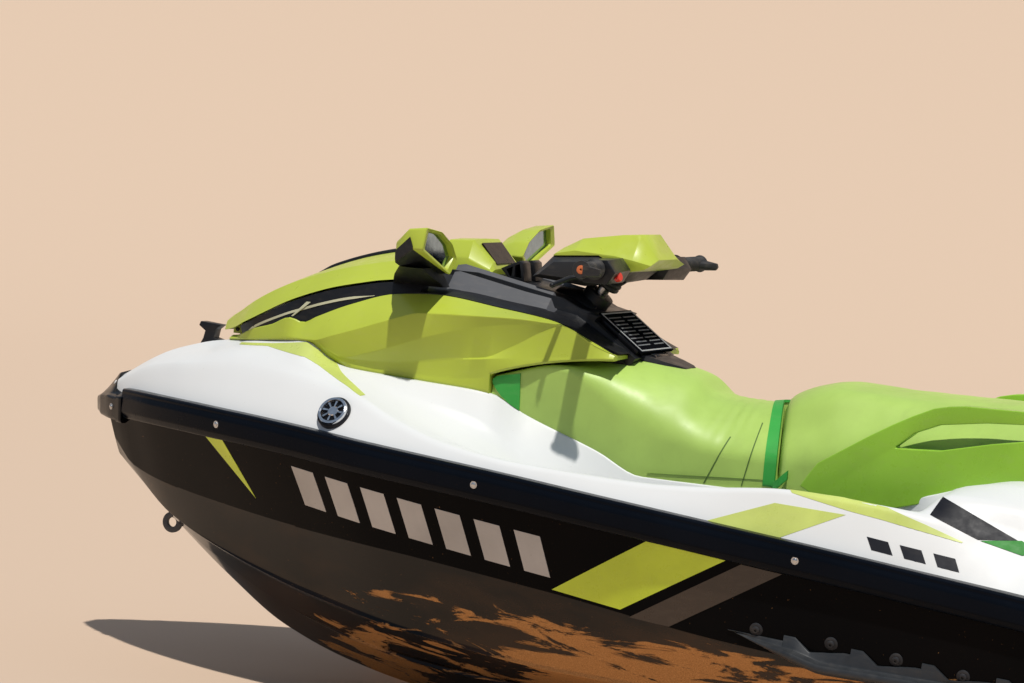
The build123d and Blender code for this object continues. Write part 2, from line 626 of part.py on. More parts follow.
def make_venturi():
    """The pump's outlet cone, with ears for the steering nozzle and trunnions for the reverse bucket."""
    cone_s = 3050
    ring_s = PUMP_S1 + 12
    body = (bore(PUMP_OUT_R, PUMP_S1, ring_s) + cone_x(ring_s, PUMP_OUT_R, cone_s, OUTLET_R, PUMP_Z)
            + bore(OUTLET_R, cone_s, VENTURI_S1))
    for side in (-1, 1):
        face = PUMP_Z + side * EAR_Z
        tip = PUMP_Z + side * (EAR_Z + EAR_T)
        ear = block(PUMP_S1, NOZZLE_PIVOT_S + 18, -18, 18, min(face, tip), max(face, tip))
        pin_end = PUMP_Z + side * PIN_END_Z
        body += ear + rod_z(NOZZLE_PIVOT_S, 0, min(face, pin_end), max(face, pin_end), PIN_R)
        boss_end = side * (BUCKET_HALF - SEAT_GAP)
        body += rod_y(BUCKET_PIVOT_S, PUMP_Z, side * 40, boss_end, TRUNNION_R)
        body += rod_y(BUCKET_PIVOT_S, PUMP_Z, side * 60, side * (BUCKET_HALF + ARM_T + 3), BUCKET_PIN_R)
    inside = (cone_x(PUMP_S1 - 0.01, PUMP_BORE_R, cone_s, OUTLET_R - 6, PUMP_Z)
              + bore(OUTLET_R - 6, cone_s - 1, VENTURI_S1 + 1))
    return body - inside


def make_nozzle():
    """The steering nozzle, which turns on two upright pins."""
    s0 = NOZZLE_PIVOT_S - NOZZLE_FRONT
    s1 = NOZZLE_PIVOT_S + NOZZLE_BACK
    body = cone_x(s0, NOZZLE_FRONT_R, s1, NOZZLE_BACK_R, PUMP_Z)
    for side in (-1, 1):
        ends = (PUMP_Z + side * 58, PUMP_Z + side * (EAR_Z - SEAT_GAP))
        body += rod_z(NOZZLE_PIVOT_S, 0, min(ends), max(ends), NOZZLE_BOSS_R)
    body -= cone_x(s0 - 0.01, NOZZLE_FRONT_R - NOZZLE_WALL, s1 + 0.01, NOZZLE_BACK_R - NOZZLE_WALL, PUMP_Z)
    return body - rod_z(NOZZLE_PIVOT_S, 0, PUMP_Z - EAR_Z - 1, PUMP_Z + EAR_Z + 1, PIN_R + PIN_FIT)


def fan(angle0, angle1, reach):
    """A wedge of the plane round the bucket's pivot, in (s, z), between two angles above the stern."""
    points = [(BUCKET_PIVOT_S, PUMP_Z)]
    for angle in (angle0, (angle0 + angle1) / 2, angle1):
        turn = math.radians(angle)
        points.append((BUCKET_PIVOT_S + reach * math.cos(turn), PUMP_Z + reach * math.sin(turn)))
    return points


def make_bucket():
    """The reverse bucket, stowed above the nozzle, with an arm down to each trunnion."""
    width = BUCKET_HALF + ARM_T
    out_r = BUCKET_IN_R + BUCKET_WALL
    disc = rod_y(BUCKET_PIVOT_S, PUMP_Z, -width, width, out_r)
    hollow = rod_y(BUCKET_PIVOT_S, PUMP_Z, -width - 1, width + 1, BUCKET_IN_R)
    half = BUCKET_SPAN / 2
    wedge = side_plate(fan(BUCKET_REST - half, BUCKET_REST + half, 2 * out_r), -width, width)
    shell = (disc - hollow) & wedge
    arm = side_plate(fan(BUCKET_REST - 22, BUCKET_REST + 22, 2 * out_r), BUCKET_HALF, width)
    arm = arm & rod_y(BUCKET_PIVOT_S, PUMP_Z, BUCKET_HALF, width, out_r)
    arm += rod_y(BUCKET_PIVOT_S, PUMP_Z, BUCKET_HALF, width, ARM_BOSS_R)
    bucket = shell + arm + other_side(arm)
    return bucket - rod_y(BUCKET_PIVOT_S, PUMP_Z, -width - 1, width + 1, BUCKET_PIN_R + PIN_FIT)


def hood_corners(s):
    """The hood's outer edge, shoulder and crown at a station."""
    return [along(HOOD_EDGE, s), along(HOOD_SHOULDER, s), along(HOOD_CROWN, s)]


def make_hood():
    """The storage lid: a thin shell, closed at both ends, on two hinge lugs."""
    rings = []
    for s in HOOD_STATIONS:
        edge, shoulder, crown = hood_corners(s)
        inner = [(crown[0], crown[1] - HOOD_T), (shoulder[0] - HOOD_T * 0.6, shoulder[1] - HOOD_T),
                 (edge[0] - HOOD_T, edge[1])]
        rings.append(ring(s, inner + [edge, shoulder, crown]))
    lid = skin(rings)
    first, last = HOOD_STATIONS[0], HOOD_STATIONS[-1]
    for s, end in ((first, first + HOOD_T), (last - HOOD_T, last)):
        lid += skin([ring(s, hood_corners(s)), ring(end, hood_corners(end))])
    for y in (HINGE_HALF + SEAT_GAP, -HINGE_HALF - HINGE_LUG - SEAT_GAP):
        lid += block(HINGE_S - 11, HINGE_S + 11, y, y + HINGE_LUG, HINGE_Z - 10, 846)
    return lid - rod_y(HINGE_S, HINGE_Z, -60, 60, HINGE_PIN_R + PIN_FIT)


def make_hood_hinge(deck_block):
    """The hinge post on the foredeck, set back from the swing of the hood's front wall, and its pin."""
    post = block(HINGE_S - HINGE_POST_FRONT, HINGE_S + HINGE_POST_BACK, -HINGE_HALF, HINGE_HALF, 750, HINGE_Z)
    post += rod_y(HINGE_S, HINGE_Z, -HINGE_HALF, HINGE_HALF, HINGE_BOSS_R)
    reach = HINGE_HALF + HINGE_LUG + 3
    return post + rod_y(HINGE_S, HINGE_Z, -reach, reach, HINGE_PIN_R) - deck_block


def make_cowl_nose():
    """The low piece that closes the cowl ahead of the side panels, clear of the hood's front as it tips."""
    rings = []
    for s in NOSE_STATIONS:
        ridge_y, ridge_z = along(RIDGE, s)
        lip, crease, top = along(PANEL_LIP, s), along(PANEL_CREASE, s), along(PANEL_TOP, s)
        rings.append(ring(s, [(min(ridge_y - 2, lip[0] - 2), ridge_z), lip, crease, top, (top[0] - NOSE_TOP_IN, top[1])]))
    swing = along(HOOD_EDGE, HINGE_S)[0] + 2
    return skin(rings) - block(NOSE_STATIONS[0] - 1, HINGE_S + NOSE_GAP, -swing, swing, 700, 900)


def panel_ring(s, foot):
    """A side panel's section from its foot up over its lip, fold, crease and top edge."""
    lines = [along(line, s) for line in (PANEL_LIP, PANEL_FOLD, PANEL_CREASE, PANEL_TOP)]
    return side_ring(s, [(PANEL_INNER_Y, foot[1]), foot] + lines + [(PANEL_INNER_Y, lines[-1][1])])


def make_side_panel():
    """The faceted panel under the hood's port edge, and its tail over the seat's nose."""
    front = []
    for s in PANEL_STATIONS:
        ridge_y, ridge_z = along(RIDGE, s)
        front.append(panel_ring(s, (min(ridge_y, along(PANEL_LIP, s)[0]) - 4, ridge_z)))
    rear = []
    for s in PANEL_REAR_STATIONS:
        lip_y, lip_z = along(PANEL_LIP, s)
        rear.append(panel_ring(s, (lip_y - PANEL_LIP_DEPTH, lip_z - 2)))
    return skin(front) + skin(rear)


def make_band():
    """The black band between a side panel and the hood."""
    rings = []
    for s in BAND_STATIONS:
        top_y, top_z = along(PANEL_TOP, s)
        edge_y, edge_z = along(HOOD_EDGE, s)
        rings.append(side_ring(s, [(top_y - BAND_IN, top_z), (top_y, top_z), (edge_y, edge_z - HOOD_GAP),
                                   (edge_y - BAND_IN, edge_z - HOOD_GAP)]))
    return skin(rings)


def shrunk(corners, share):
    """An outline drawn in towards its middle."""
    middle_y = sum(y for y, z in corners) / len(corners)
    middle_z = sum(z for y, z in corners) / len(corners)
    return [(middle_y + (y - middle_y) * share, middle_z + (z - middle_z) * share) for y, z in corners]


def make_hood_block():
    """The space that the hood and its inside fill."""
    return skin([ring(s, hood_corners(s)) for s in HOOD_STATIONS])


def make_mirror(hood_block):
    """The port mirror's housing, sunk for its glass, and its foot on the hood's corner."""
    housing = skin([side_ring(s, corners)
                    for s, corners in zip(MIRROR_STATIONS, (MIRROR_NOSE, MIRROR_BACK, MIRROR_RIM))])
    face = shrunk(MIRROR_RIM, MIRROR_FACE)
    face_s = MIRROR_STATIONS[-1]
    housing -= skin([side_ring(face_s - MIRROR_DEPTH, face), side_ring(face_s + 1, face)])
    wires = []
    for z, s0, s1, y0, y1 in MIRROR_FOOT:
        corners = [(s0, y0), (s0 + 12, y1), (s1, y1), (s1, y0)]
        wires.append(Wire.make_polygon([Vector(x_at(s), y, z) for s, y in corners], close=True))
    return housing + (skin(wires) - hood_block)


def make_mirror_glass():
    face = shrunk(MIRROR_RIM, MIRROR_FACE * 0.985)
    s0 = MIRROR_STATIONS[-1] - MIRROR_DEPTH
    return skin([side_ring(s0, face), side_ring(s0 + MIRROR_T, face)])


def lid_point(distance, depth):
    """A point (s, z) on the glovebox's slope: distance down it from its top, and depth under it."""
    turn = math.radians(LID_SLOPE)
    return (LID_TOP_S + distance * math.cos(turn) - depth * math.sin(turn),
            LID_TOP_Z - distance * math.sin(turn) - depth * math.cos(turn))


def make_console(driver_seat, deck_block):
    """The black console between the side panels, with the glovebox's pocket and the steering column."""
    depth = LID_T + SEAT_GAP
    outline = [(CONSOLE_S0, 700), (PANEL_STEP_S, 700), (PANEL_STEP_S, 790), (1436, 845),
               (1450, 863), lid_point(LID_LENGTH, depth), lid_point(0, depth), lid_point(-4, depth),
               lid_point(-4, -2), (1296, 962), (1250, 984), (BINNACLE_END_S, CONSOLE_TOP_Z),
               (CONSOLE_S0, CONSOLE_TOP_Z)]
    body = side_plate(outline, -PANEL_INNER_Y, PANEL_INNER_Y)
    body -= side_plate([lid_point(14, 0), lid_point(LID_LENGTH - 30, 0),
                        lid_point(LID_LENGTH - 30, LID_POCKET_DEPTH * 0.6), lid_point(14, LID_POCKET_DEPTH)],
                       -LID_POCKET_HALF, LID_POCKET_HALF)
    column = steer_frame() * Pos(0, 0, (COLUMN_TOP + COLUMN_FOOT) / 2) * Cylinder(COLUMN_R, COLUMN_TOP - COLUMN_FOOT)
    socket = steer_frame() * Pos(0, 0, COLUMN_TOP - 30) * Cylinder(NECK_R + PIN_FIT, 2 * 30 + 0.2)
    for side in (-1, 1):
        y0 = side * (LID_TONGUE_HALF + SEAT_GAP)
        y1 = side * (LID_TONGUE_HALF + 10)
        body += rod_y(LID_PIN_S, LID_PIN_Z, y0, y1, LID_BARREL_R)
        body += block(LID_PIN_S - 34, LID_PIN_S, y0, y1, LID_PIN_Z - LID_BARREL_R, LID_PIN_Z - 2)
    body += rod_y(LID_PIN_S, LID_PIN_Z, -LID_TONGUE_HALF - 5, LID_TONGUE_HALF + 5, LID_PIN_R)
    shoulders = make_console_shoulder()
    return body + shoulders + other_side(shoulders) + column - socket - driver_seat - deck_block


def make_console_shoulder():
    """The slope from the console's port side down to the side panel's top edge."""
    wires = []
    for s, y, z in SHOULDER_LINE:
        top_y, top_z = along(PANEL_TOP, s)
        inner_z = z + CONSOLE_RISE * (SHOULDER_LINE[-1][0] - s) / (SHOULDER_LINE[-1][0] - CONSOLE_S0)
        wires.append(side_ring(s, [(PANEL_INNER_Y - 2, top_z), (top_y - 6, top_z), (y, max(z, top_z + 1)),
                                   (PANEL_INNER_Y - 2, max(inner_z, top_z + 2))]))
    return skin(wires)


def make_glovebox_lid():
    """The sloping lid behind the bars, on a barrel hinge at its lower edge."""
    plate = side_plate([lid_point(0, 0), lid_point(LID_LENGTH, 0), lid_point(LID_LENGTH, LID_T),
                        lid_point(0, LID_T)], -LID_HALF, LID_HALF)
    tongue = side_plate([lid_point(LID_LENGTH - 12, 1), lid_point(LID_LENGTH + 10, 1),
                         (LID_PIN_S, LID_PIN_Z + 4), (LID_PIN_S, LID_PIN_Z - 3),
                         lid_point(LID_LENGTH, LID_T), lid_point(LID_LENGTH - 12, LID_T)],
                        -LID_TONGUE_HALF, LID_TONGUE_HALF)
    barrel = rod_y(LID_PIN_S, LID_PIN_Z, -LID_TONGUE_HALF, LID_TONGUE_HALF, LID_BARREL_R)
    hole = rod_y(LID_PIN_S, LID_PIN_Z, -LID_TONGUE_HALF - 1, LID_TONGUE_HALF + 1, LID_PIN_R + PIN_FIT)
    return plate + tongue + barrel - hole


def make_binnacle():
    """The hooded instrument pod at the console's front."""
    table = [(912, 84, 78, 1060), (940, 96, 84, 1088), (985, 100, 86, 1092), (BINNACLE_END_S, 92, 80, 1038)]
    return skin([ring(s, [(low_y, CONSOLE_TOP_Z), (top_y + 8, (CONSOLE_TOP_Z + top_z) / 2), (top_y, top_z)])
                 for s, low_y, top_y, top_z in table])


def steer_frame():
    """A frame whose Z is the steering axis and whose X points forward and up."""
    return Pos(x_at(STEER_S), 0, STEER_Z) * Rot(0, -STEER_RAKE, 0)


def rod_between(start, end, radius):
    """A round bar between two points in (s, y, z)."""
    a, b = [Vector(x_at(s), y, z) for s, y, z in (start, end)]
    path = Plane(origin=a, z_dir=b - a)
    return Solid.make_cylinder(radius, (b - a).length, path)


def ball(point, radius):
    s, y, z = point
    return Pos(x_at(s), y, z) * Sphere(radius)


def make_handlebar():
    """The bent bar, from grip end to grip end, with the neck that turns in the column."""
    bend = (BAR_MIDDLE_S, BAR_BEND_Y, BAR_MIDDLE_Z)
    end = (GRIP_S, GRIP_Y1 - 6, GRIP_Z)
    half = rod_between((BAR_MIDDLE_S, -1, BAR_MIDDLE_Z), bend, BAR_R) + ball(bend, BAR_R)
    half += rod_between(bend, end, BAR_R)
    neck_end = COLUMN_TOP - 28
    neck = steer_frame() * Pos(0, 0, (neck_end + NECK_TOP) / 2) * Cylinder(NECK_R, NECK_TOP - neck_end)
    return half + other_side(half) + neck


def bar_point(y):
    """The (s, y, z) of the bar's line at a half breadth outside its bend."""
    share = (y - BAR_BEND_Y) / (GRIP_Y1 - 6 - BAR_BEND_Y)
    return (BAR_MIDDLE_S + (GRIP_S - BAR_MIDDLE_S) * share, y, BAR_MIDDLE_Z + (GRIP_Z - BAR_MIDDLE_Z) * share)


def make_grip():
    """A grip sleeve with a flange, closed at its end."""
    sleeve = rod_between(bar_point(GRIP_Y0), bar_point(GRIP_Y1), GRIP_R)
    flange = rod_between(bar_point(GRIP_Y0), bar_point(GRIP_Y0 + 6), GRIP_R + 7)
    return sleeve + flange - rod_between(bar_point(GRIP_Y0 - 20), bar_point(GRIP_Y1 - 5.8), BAR_R + 0.1)


def make_bar_body(handlebar):
    """The dark shell round the middle of the bar."""
    lower = [(1166, 1026), (1216, 1080), (1330, 1091), (1400, 1058), (1372, 1034), (1300, 1016)]
    upper = [(1190, 1034), (1226, 1066), (1330, 1076), (1390, 1054), (1366, 1040), (1300, 1030)]
    wires = []
    for y, outline in ((-128, upper), (-104, lower), (104, lower), (128, upper)):
        wires.append(Wire.make_polygon([Vector(x_at(s), y, z) for s, z in outline], close=True))
    return skin(wires) - handlebar


def make_bar_cover():
    """The coloured cover on top of the bar's shell."""
    table = [(1216, 1080, 1080), (1222, 1098, 1080.6), (1269, 1124, 1085.1), (1369, 1142, 1072.7),
             (1414, 1146, 1062.4), (1462, 1092, 1074), (1446, 1074, 1066), (1400, 1058, 1058), (1330, 1091, 1091)]
    wires = []
    for y, share in ((-112, 0.3), (-62, 1), (62, 1), (112, 0.3)):
        points = [Vector(x_at(s), y, low + (z - low) * share) for s, z, low in table]
        wires.append(Wire.make_polygon(points, close=True))
    return skin(wires)


def make_pod(handlebar):
    """The switch pod inboard of a grip."""
    inner = [(1338, 1030), (1342, 1086), (1398, 1092), (1420, 1066), (1404, 1036)]
    outer = [(1352, 1034), (1354, 1084), (1410, 1090), (1430, 1062), (1412, 1034)]
    wires = []
    for y, outline in ((128.5, inner), (GRIP_Y0 - 6, outer)):
        wires.append(Wire.make_polygon([Vector(x_at(s), y, z) for s, z in outline], close=True))
    return skin(wires) - handlebar


def make_lever(points, radius, pods):
    """A finger lever along a few points in (s, y, z), from its pod."""
    lever = ball(points[0], radius)
    for start, end in zip(points, points[1:]):
        lever += rod_between(start, end, radius) + ball(end, radius)
    return lever - pods


def seat_ring(s, side_line, top_line):
    """A seat's section on the deck's ridge."""
    ridge_y, ridge_z = along(RIDGE, s)
    side, top = along(side_line, s), along(top_line, s)
    return ring(s, [(min(ridge_y, side[0]) - 3, ridge_z), side, (top[0], top[1] - SEAT_ROUND),
                    (top[0] * 0.55, top[1])])


def make_seat(stations, side_line, top_line):
    return skin([seat_ring(s, side_line, top_line) for s in stations])


def make_grab_rail(deck_block):
    """The moulded rail beside the rear seat, with its hand slot."""
    rail = side_plate(GRAB_OUTLINE, RAIL_GRIP_Y0, RAIL_GRIP_Y1)
    rail -= side_plate(GRAB_SLOT, RAIL_GRIP_Y0 - 1, RAIL_GRIP_Y1 + 1)
    return rail - deck_block


def make_rear_handle():
    """The boarding handle across the end of the seat."""
    return block(2860, 2884, -RAIL_GRIP_Y1, RAIL_GRIP_Y1, 792, 826)


def make_stern_eyes():
    """A tie-down eye each side of the transom."""
    s = HULL_END_S + EYE_REACH
    plate = block(HULL_END_S, s, EYE_Y - EYE_T / 2, EYE_Y + EYE_T / 2, EYE_Z - EYE_R, EYE_Z + EYE_R)
    plate += rod_y(s, EYE_Z, EYE_Y - EYE_T / 2, EYE_Y + EYE_T / 2, EYE_R)
    return both(plate - rod_y(s, EYE_Z, EYE_Y - EYE_T, EYE_Y + EYE_T, EYE_HOLE_R))


def both(shape):
    """A port piece and its starboard twin in one node."""
    return Compound(children=[shape, other_side(shape)])


def write(name, shape):
    export_step(shape, f"parts/{name}.step")


def main():
    hull_block = make_hull_block()
    deck_block = make_deck_block()
    handlebar = make_handlebar()
    hood = make_hood()
    driver_seat = make_seat(DRIVER_STATIONS, SEAT_SIDE, SEAT_TOP) - deck_block
    sponson = make_sponson(hull_block, deck_block)
    panel = make_side_panel() - deck_block
    grab_rail = make_grab_rail(deck_block)
    pods = both(make_pod(handlebar))
    passenger_seat = make_seat(PASSENGER_STATIONS, PASSENGER_SIDE, PASSENGER_TOP) - deck_block
    pieces = {
        "hull": make_hull(hull_block),
        "deck": make_deck(deck_block),
        "rub_rails": both(make_rail()),
        "bow_bumper": make_bow_bumper(hull_block, deck_block),
        "stern_bumpers": both(make_stern_bumper(hull_block, deck_block)),
        "bow_cleat": make_cleat(deck_block),
        "bow_eye": make_bow_eye(hull_block),
        "fuel_cap": make_fuel_cap(deck_block),
        "storage_bin": make_bin(),
        "engine_block": make_engine(),
        "sponson_port": sponson,
        "sponson_starboard": other_side(sponson),
        "footwell_mats": make_mats(),
        "platform_mat": make_platform_mat(deck_block),
        "intake_grate": make_intake_grate(),
        "ride_plate": make_ride_plate(),
        "pump_housing": make_pump(),
        "impeller": make_impeller(),
        "venturi": make_venturi(),
        "steering_nozzle": make_nozzle(),
        "reverse_bucket": make_bucket(),
        "hood": hood,
        "hood_hinge": make_hood_hinge(deck_block),
        "cowl_nose": make_cowl_nose(),
        "side_panel_port": panel,
        "side_panel_starboard": other_side(panel),
        "hood_bands": both(make_band()),
        "mirrors": both(make_mirror(make_hood_block())),
        "mirror_glasses": both(make_mirror_glass()),
        "console": make_console(driver_seat, deck_block) - panel - other_side(panel),
        "glovebox_lid": make_glovebox_lid(),
        "gauge_binnacle": make_binnacle(),
        "handlebar": handlebar,
        "bar_body": make_bar_body(handlebar),
        "bar_cover": make_bar_cover() - handlebar,
        "switch_pods": pods,
        "grips": both(make_grip()),
        "brake_lever": make_lever(BRAKE_LEVER, LEVER_R, pods),
        "throttle_lever": make_lever(THROTTLE_LEVER, LEVER_R, pods),
        "driver_seat": driver_seat,
        "passenger_seat": passenger_seat,
        "grab_rail_port": grab_rail,
        "grab_rail_starboard": other_side(grab_rail),
        "rear_handle": make_rear_handle(),
        "stern_eyes": make_stern_eyes(),
    }
    for name, shape in pieces.items():
        write(name, shape)


main()
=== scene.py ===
import json
import math

import bmesh
import bpy
from mathutils import Matrix, Vector, noise

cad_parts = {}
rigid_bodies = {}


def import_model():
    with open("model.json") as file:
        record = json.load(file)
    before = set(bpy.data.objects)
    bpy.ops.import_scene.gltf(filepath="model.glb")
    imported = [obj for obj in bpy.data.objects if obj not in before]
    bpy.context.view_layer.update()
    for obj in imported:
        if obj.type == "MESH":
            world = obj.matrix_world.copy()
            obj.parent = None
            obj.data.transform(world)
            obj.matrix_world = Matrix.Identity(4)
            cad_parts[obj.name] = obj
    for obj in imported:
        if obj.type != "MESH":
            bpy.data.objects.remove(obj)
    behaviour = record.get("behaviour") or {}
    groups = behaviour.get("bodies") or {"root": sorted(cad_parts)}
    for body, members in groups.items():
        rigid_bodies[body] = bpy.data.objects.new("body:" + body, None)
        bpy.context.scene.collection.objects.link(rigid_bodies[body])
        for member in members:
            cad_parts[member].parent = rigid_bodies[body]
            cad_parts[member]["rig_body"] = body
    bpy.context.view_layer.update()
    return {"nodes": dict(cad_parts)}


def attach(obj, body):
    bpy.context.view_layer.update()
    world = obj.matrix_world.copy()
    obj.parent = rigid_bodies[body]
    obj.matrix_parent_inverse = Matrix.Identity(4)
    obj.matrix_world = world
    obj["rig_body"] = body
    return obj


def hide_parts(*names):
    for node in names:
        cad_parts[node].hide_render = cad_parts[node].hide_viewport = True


# A three-seat jet-drive personal watercraft. Sizes are in millimetres and become metres in at().
# Places are (s, y, z): s is measured aft from the bow tip, y to port and z up.
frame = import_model()

MM = 0.001
BOW_X = 1684
STEP = 24
ROUND_STEPS = 4

# Hull lines: station s, half breadth y, height z.
KEEL = [(62, 8, 468), (130, 10, 410), (250, 14, 314), (400, 20, 206), (560, 28, 110), (750, 34, 46),
        (950, 40, 10), (1100, 46, 0), (2200, 110, 0), (2700, 150, 0), (3262, 150, 0)]
CHINE = [(62, 22, 486), (130, 36, 428), (250, 74, 348), (400, 132, 302), (560, 190, 268), (718, 245, 241),
         (1030, 330, 198), (1470, 400, 168), (2000, 440, 165), (2700, 455, 170), (3262, 448, 178)]
KNUCKLE = [(62, 40, 512), (130, 62, 454), (250, 124, 430), (400, 192, 414), (727, 335, 394), (992, 438, 386),
           (1424, 520, 356), (1865, 560, 308), (2500, 574, 265), (3262, 556, 242)]
SHEER = [(62, 74, 566), (130, 130, 576), (250, 222, 581), (400, 312, 583), (560, 388, 582), (750, 455, 576),
         (932, 508, 565), (1265, 566, 545), (1580, 586, 518), (2037, 593, 477), (2528, 593, 429),
         (3000, 577, 392), (3325, 545, 374)]

HULL_START_S = 62
HULL_END_S = 3262
DECK_END_S = 3325
FLOOR_S0 = 1520
FLOOR_S1 = 2150
FLOOR_Z = 372

# Deck lines, from the sheer up and inboard.
SHOULDER = [(62, 70, 604), (130, 124, 618), (250, 214, 634), (400, 303, 641), (560, 380, 641),
            (750, 447, 634), (932, 500, 621), (1265, 556, 602), (1580, 576, 574), (2037, 583, 534),
            (2528, 582, 486), (3000, 564, 438), (DECK_END_S, 532, 412)]
CREST = [(62, 66, 652), (190, 124, 706), (330, 206, 728), (524, 292, 742), (660, 342, 744), (850, 398, 732),
         (1000, 458, 690), (1150, 508, 656), (1340, 538, 636), (1641, 538, 627), (1781, 535, 634),
         (1990, 532, 653), (2098, 530, 650), (2218, 524, 643), (2327, 512, 622), (2435, 498, 597),
         (2516, 488, 573), (2700, 474, 520), (2860, 470, 480), (2960, 490, 436), (DECK_END_S, 482, 420)]
CREST_IN = [(62, 56, 656), (190, 106, 716), (330, 184, 742), (524, 262, 770), (660, 318, 764),
            (850, 372, 738), (1000, 420, 690), (1150, 472, 654), (1340, 504, 632), (1641, 500, 622),
            (1990, 490, 646), (2218, 488, 634), (2327, 494, 640), (2435, 474, 622), (2600, 448, 590),
            (2860, 440, 530), (2960, 440, 434), (DECK_END_S, 430, 420)]
FLOOR_OUT = [(62, 46, 660), (190, 88, 724), (330, 150, 756), (524, 232, 788), (660, 292, 786),
             (735, 322, 770), (850, 346, 746), (1000, 378, 694), (1150, 400, 640), (1340, 440, 500),
             (FLOOR_S0, 456, FLOOR_Z), (FLOOR_S1, 456, FLOOR_Z), (2240, 460, 600), (2318, 462, 676),
             (2436, 446, 668), (2600, 410, 640), (2860, 395, 600), (2960, 400, 434),
             (DECK_END_S, 380, 420)]
FLOOR_IN = [(62, 36, 664), (190, 66, 734), (330, 104, 768), (524, 200, 802), (660, 268, 806), (735, 290, 780),
            (850, 312, 756), (1000, 328, 712), (1150, 310, 668), (1340, 282, 520), (FLOOR_S0, 262, FLOOR_Z),
            (FLOOR_S1, 262, FLOOR_Z), (2240, 330, 600), (2318, 356, 688), (2436, 352, 704), (2600, 340, 705),
            (2860, 320, 660), (2960, 330, 434), (DECK_END_S, 320, 420)]
RIDGE = [(62, 20, 667), (190, 36, 741), (257, 50, 764), (330, 70, 783), (440, 126, 800), (524, 170, 812),
         (600, 212, 822), (660, 244, 826), (735, 258, 790), (780, 268, 777), (850, 278, 771),
         (1000, 284, 764), (1100, 278, 760), (1150, 266, 755), (1228, 234, 714), (1409, 214, 647),
         (FLOOR_S0, 212, 602), (1900, 218, 602), (2111, 262, 620), (2237, 290, 655), (2318, 294, 682),
         (2436, 298, 708), (2600, 296, 712), (2860, 286, 704), (2960, 300, 434), (DECK_END_S, 290, 420)]
LINER_DROP = [(1200, 0), (1340, 90), (FLOOR_S0, 190), (FLOOR_S1, 130), (2240, 40), (2318, 0)]
LINER_LEDGE = 36
LINER_TAPER = 0.9

# Radii that round the deck's shoulder, crest and footwell edges, by station.
SHOULDER_ROUND = [(62, 30), (500, 60), (900, 44), (1200, 16), (3325, 12)]
CREST_ROUND = [(62, 34), (330, 60), (700, 46), (850, 26), (1000, 22), (1300, 16), (3325, 12)]
FLOOR_ROUND = [(62, 30), (524, 44), (850, 16), (1150, 30), (1450, 26), (3325, 14)]

RAIL_START_S = 130
RAIL_END_S = 3262
RAIL_OUT = 22
RAIL_UP = 36
RAIL_DOWN = 37
RAIL_RISE = [(62, 34), (2400, 34), (RAIL_END_S, 0)]
DECAL_LIFT = 0.7
DECAL_DEPTH = 1.5
FILM_LIFT = 1.2
FILM_JUMP = 70
SIDES = ((1, "port"), (-1, "starboard"))

# The camera, from a fit to the photograph: place in millimetres, angles in degrees, focal length in pixels.
CAMERA_PLACE = (-2847, 8339, 1533)
CAMERA_YAW = -67.55
CAMERA_PITCH = -4.27
CAMERA_ROLL = 4.88
CAMERA_FOCAL = 3800
FRAME_WIDTH = 1024
FRAME_HEIGHT = 683
SENSOR = 36.0


def at(s, y, z):
    """A point in metres in the frame's axes."""
    return Vector(((BOW_X - s) * MM, y * MM, z * MM))


def along(line, s):
    """The values of a line at station s, by a cubic that doesn't overshoot its points."""
    if s <= line[0][0]:
        return line[0][1:]
    if s >= line[-1][0]:
        return line[-1][1:]
    i = max(k for k in range(len(line) - 1) if line[k][0] <= s)
    width = line[i + 1][0] - line[i][0]
    t = (s - line[i][0]) / width
    found = []
    for column in range(1, len(line[0])):
        slopes = [slope_at(line, k, column) for k in (i, i + 1)]
        start, end = line[i][column], line[i + 1][column]
        found.append(start * (2 * t**3 - 3 * t**2 + 1) + end * (3 * t**2 - 2 * t**3)
                     + width * slopes[0] * (t**3 - 2 * t**2 + t) + width * slopes[1] * (t**3 - t**2))
    return tuple(found)


def slope_at(line, k, column):
    """The slope of a line at its point k: the harmonic mean of its neighbours, or none at a peak."""
    if k == 0 or k == len(line) - 1:
        other = 1 if k == 0 else k - 1
        return (line[other][column] - line[k][column]) / (line[other][0] - line[k][0])
    before = (line[k][column] - line[k - 1][column]) / (line[k][0] - line[k - 1][0])
    after = (line[k + 1][column] - line[k][column]) / (line[k + 1][0] - line[k][0])
    if before * after <= 0:
        return 0
    return 2 * before * after / (before + after)


def spread(start, end, step=STEP):
    """Evenly spaced stations from start to end."""
    count = max(1, round(abs(end - start) / step))
    return [start + (end - start) * i / count for i in range(count + 1)]


def between(a, b, t):
    return tuple(p + (q - p) * t for p, q in zip(a, b))


def rounded(corners, closed=False, steps=ROUND_STEPS):
    """Corners (u, v, radius) as an outline whose corners are rounded."""
    count = len(corners)
    outline = []
    for i, (u, v, radius) in enumerate(corners):
        if not closed and i in (0, count - 1):
            outline.append((u, v))
            continue
        here = Vector((u, v))
        before = Vector(corners[i - 1][:2]) - here
        after = Vector(corners[(i + 1) % count][:2]) - here
        start = here + before.normalized() * min(radius, 0.46 * before.length)
        end = here + after.normalized() * min(radius, 0.46 * after.length)
        for k in range(steps + 1):
            t = k / steps
            point = start * (1 - t)**2 + here * 2 * t * (1 - t) + end * t**2
            outline.append((point.x, point.y))
    return outline


# Materials

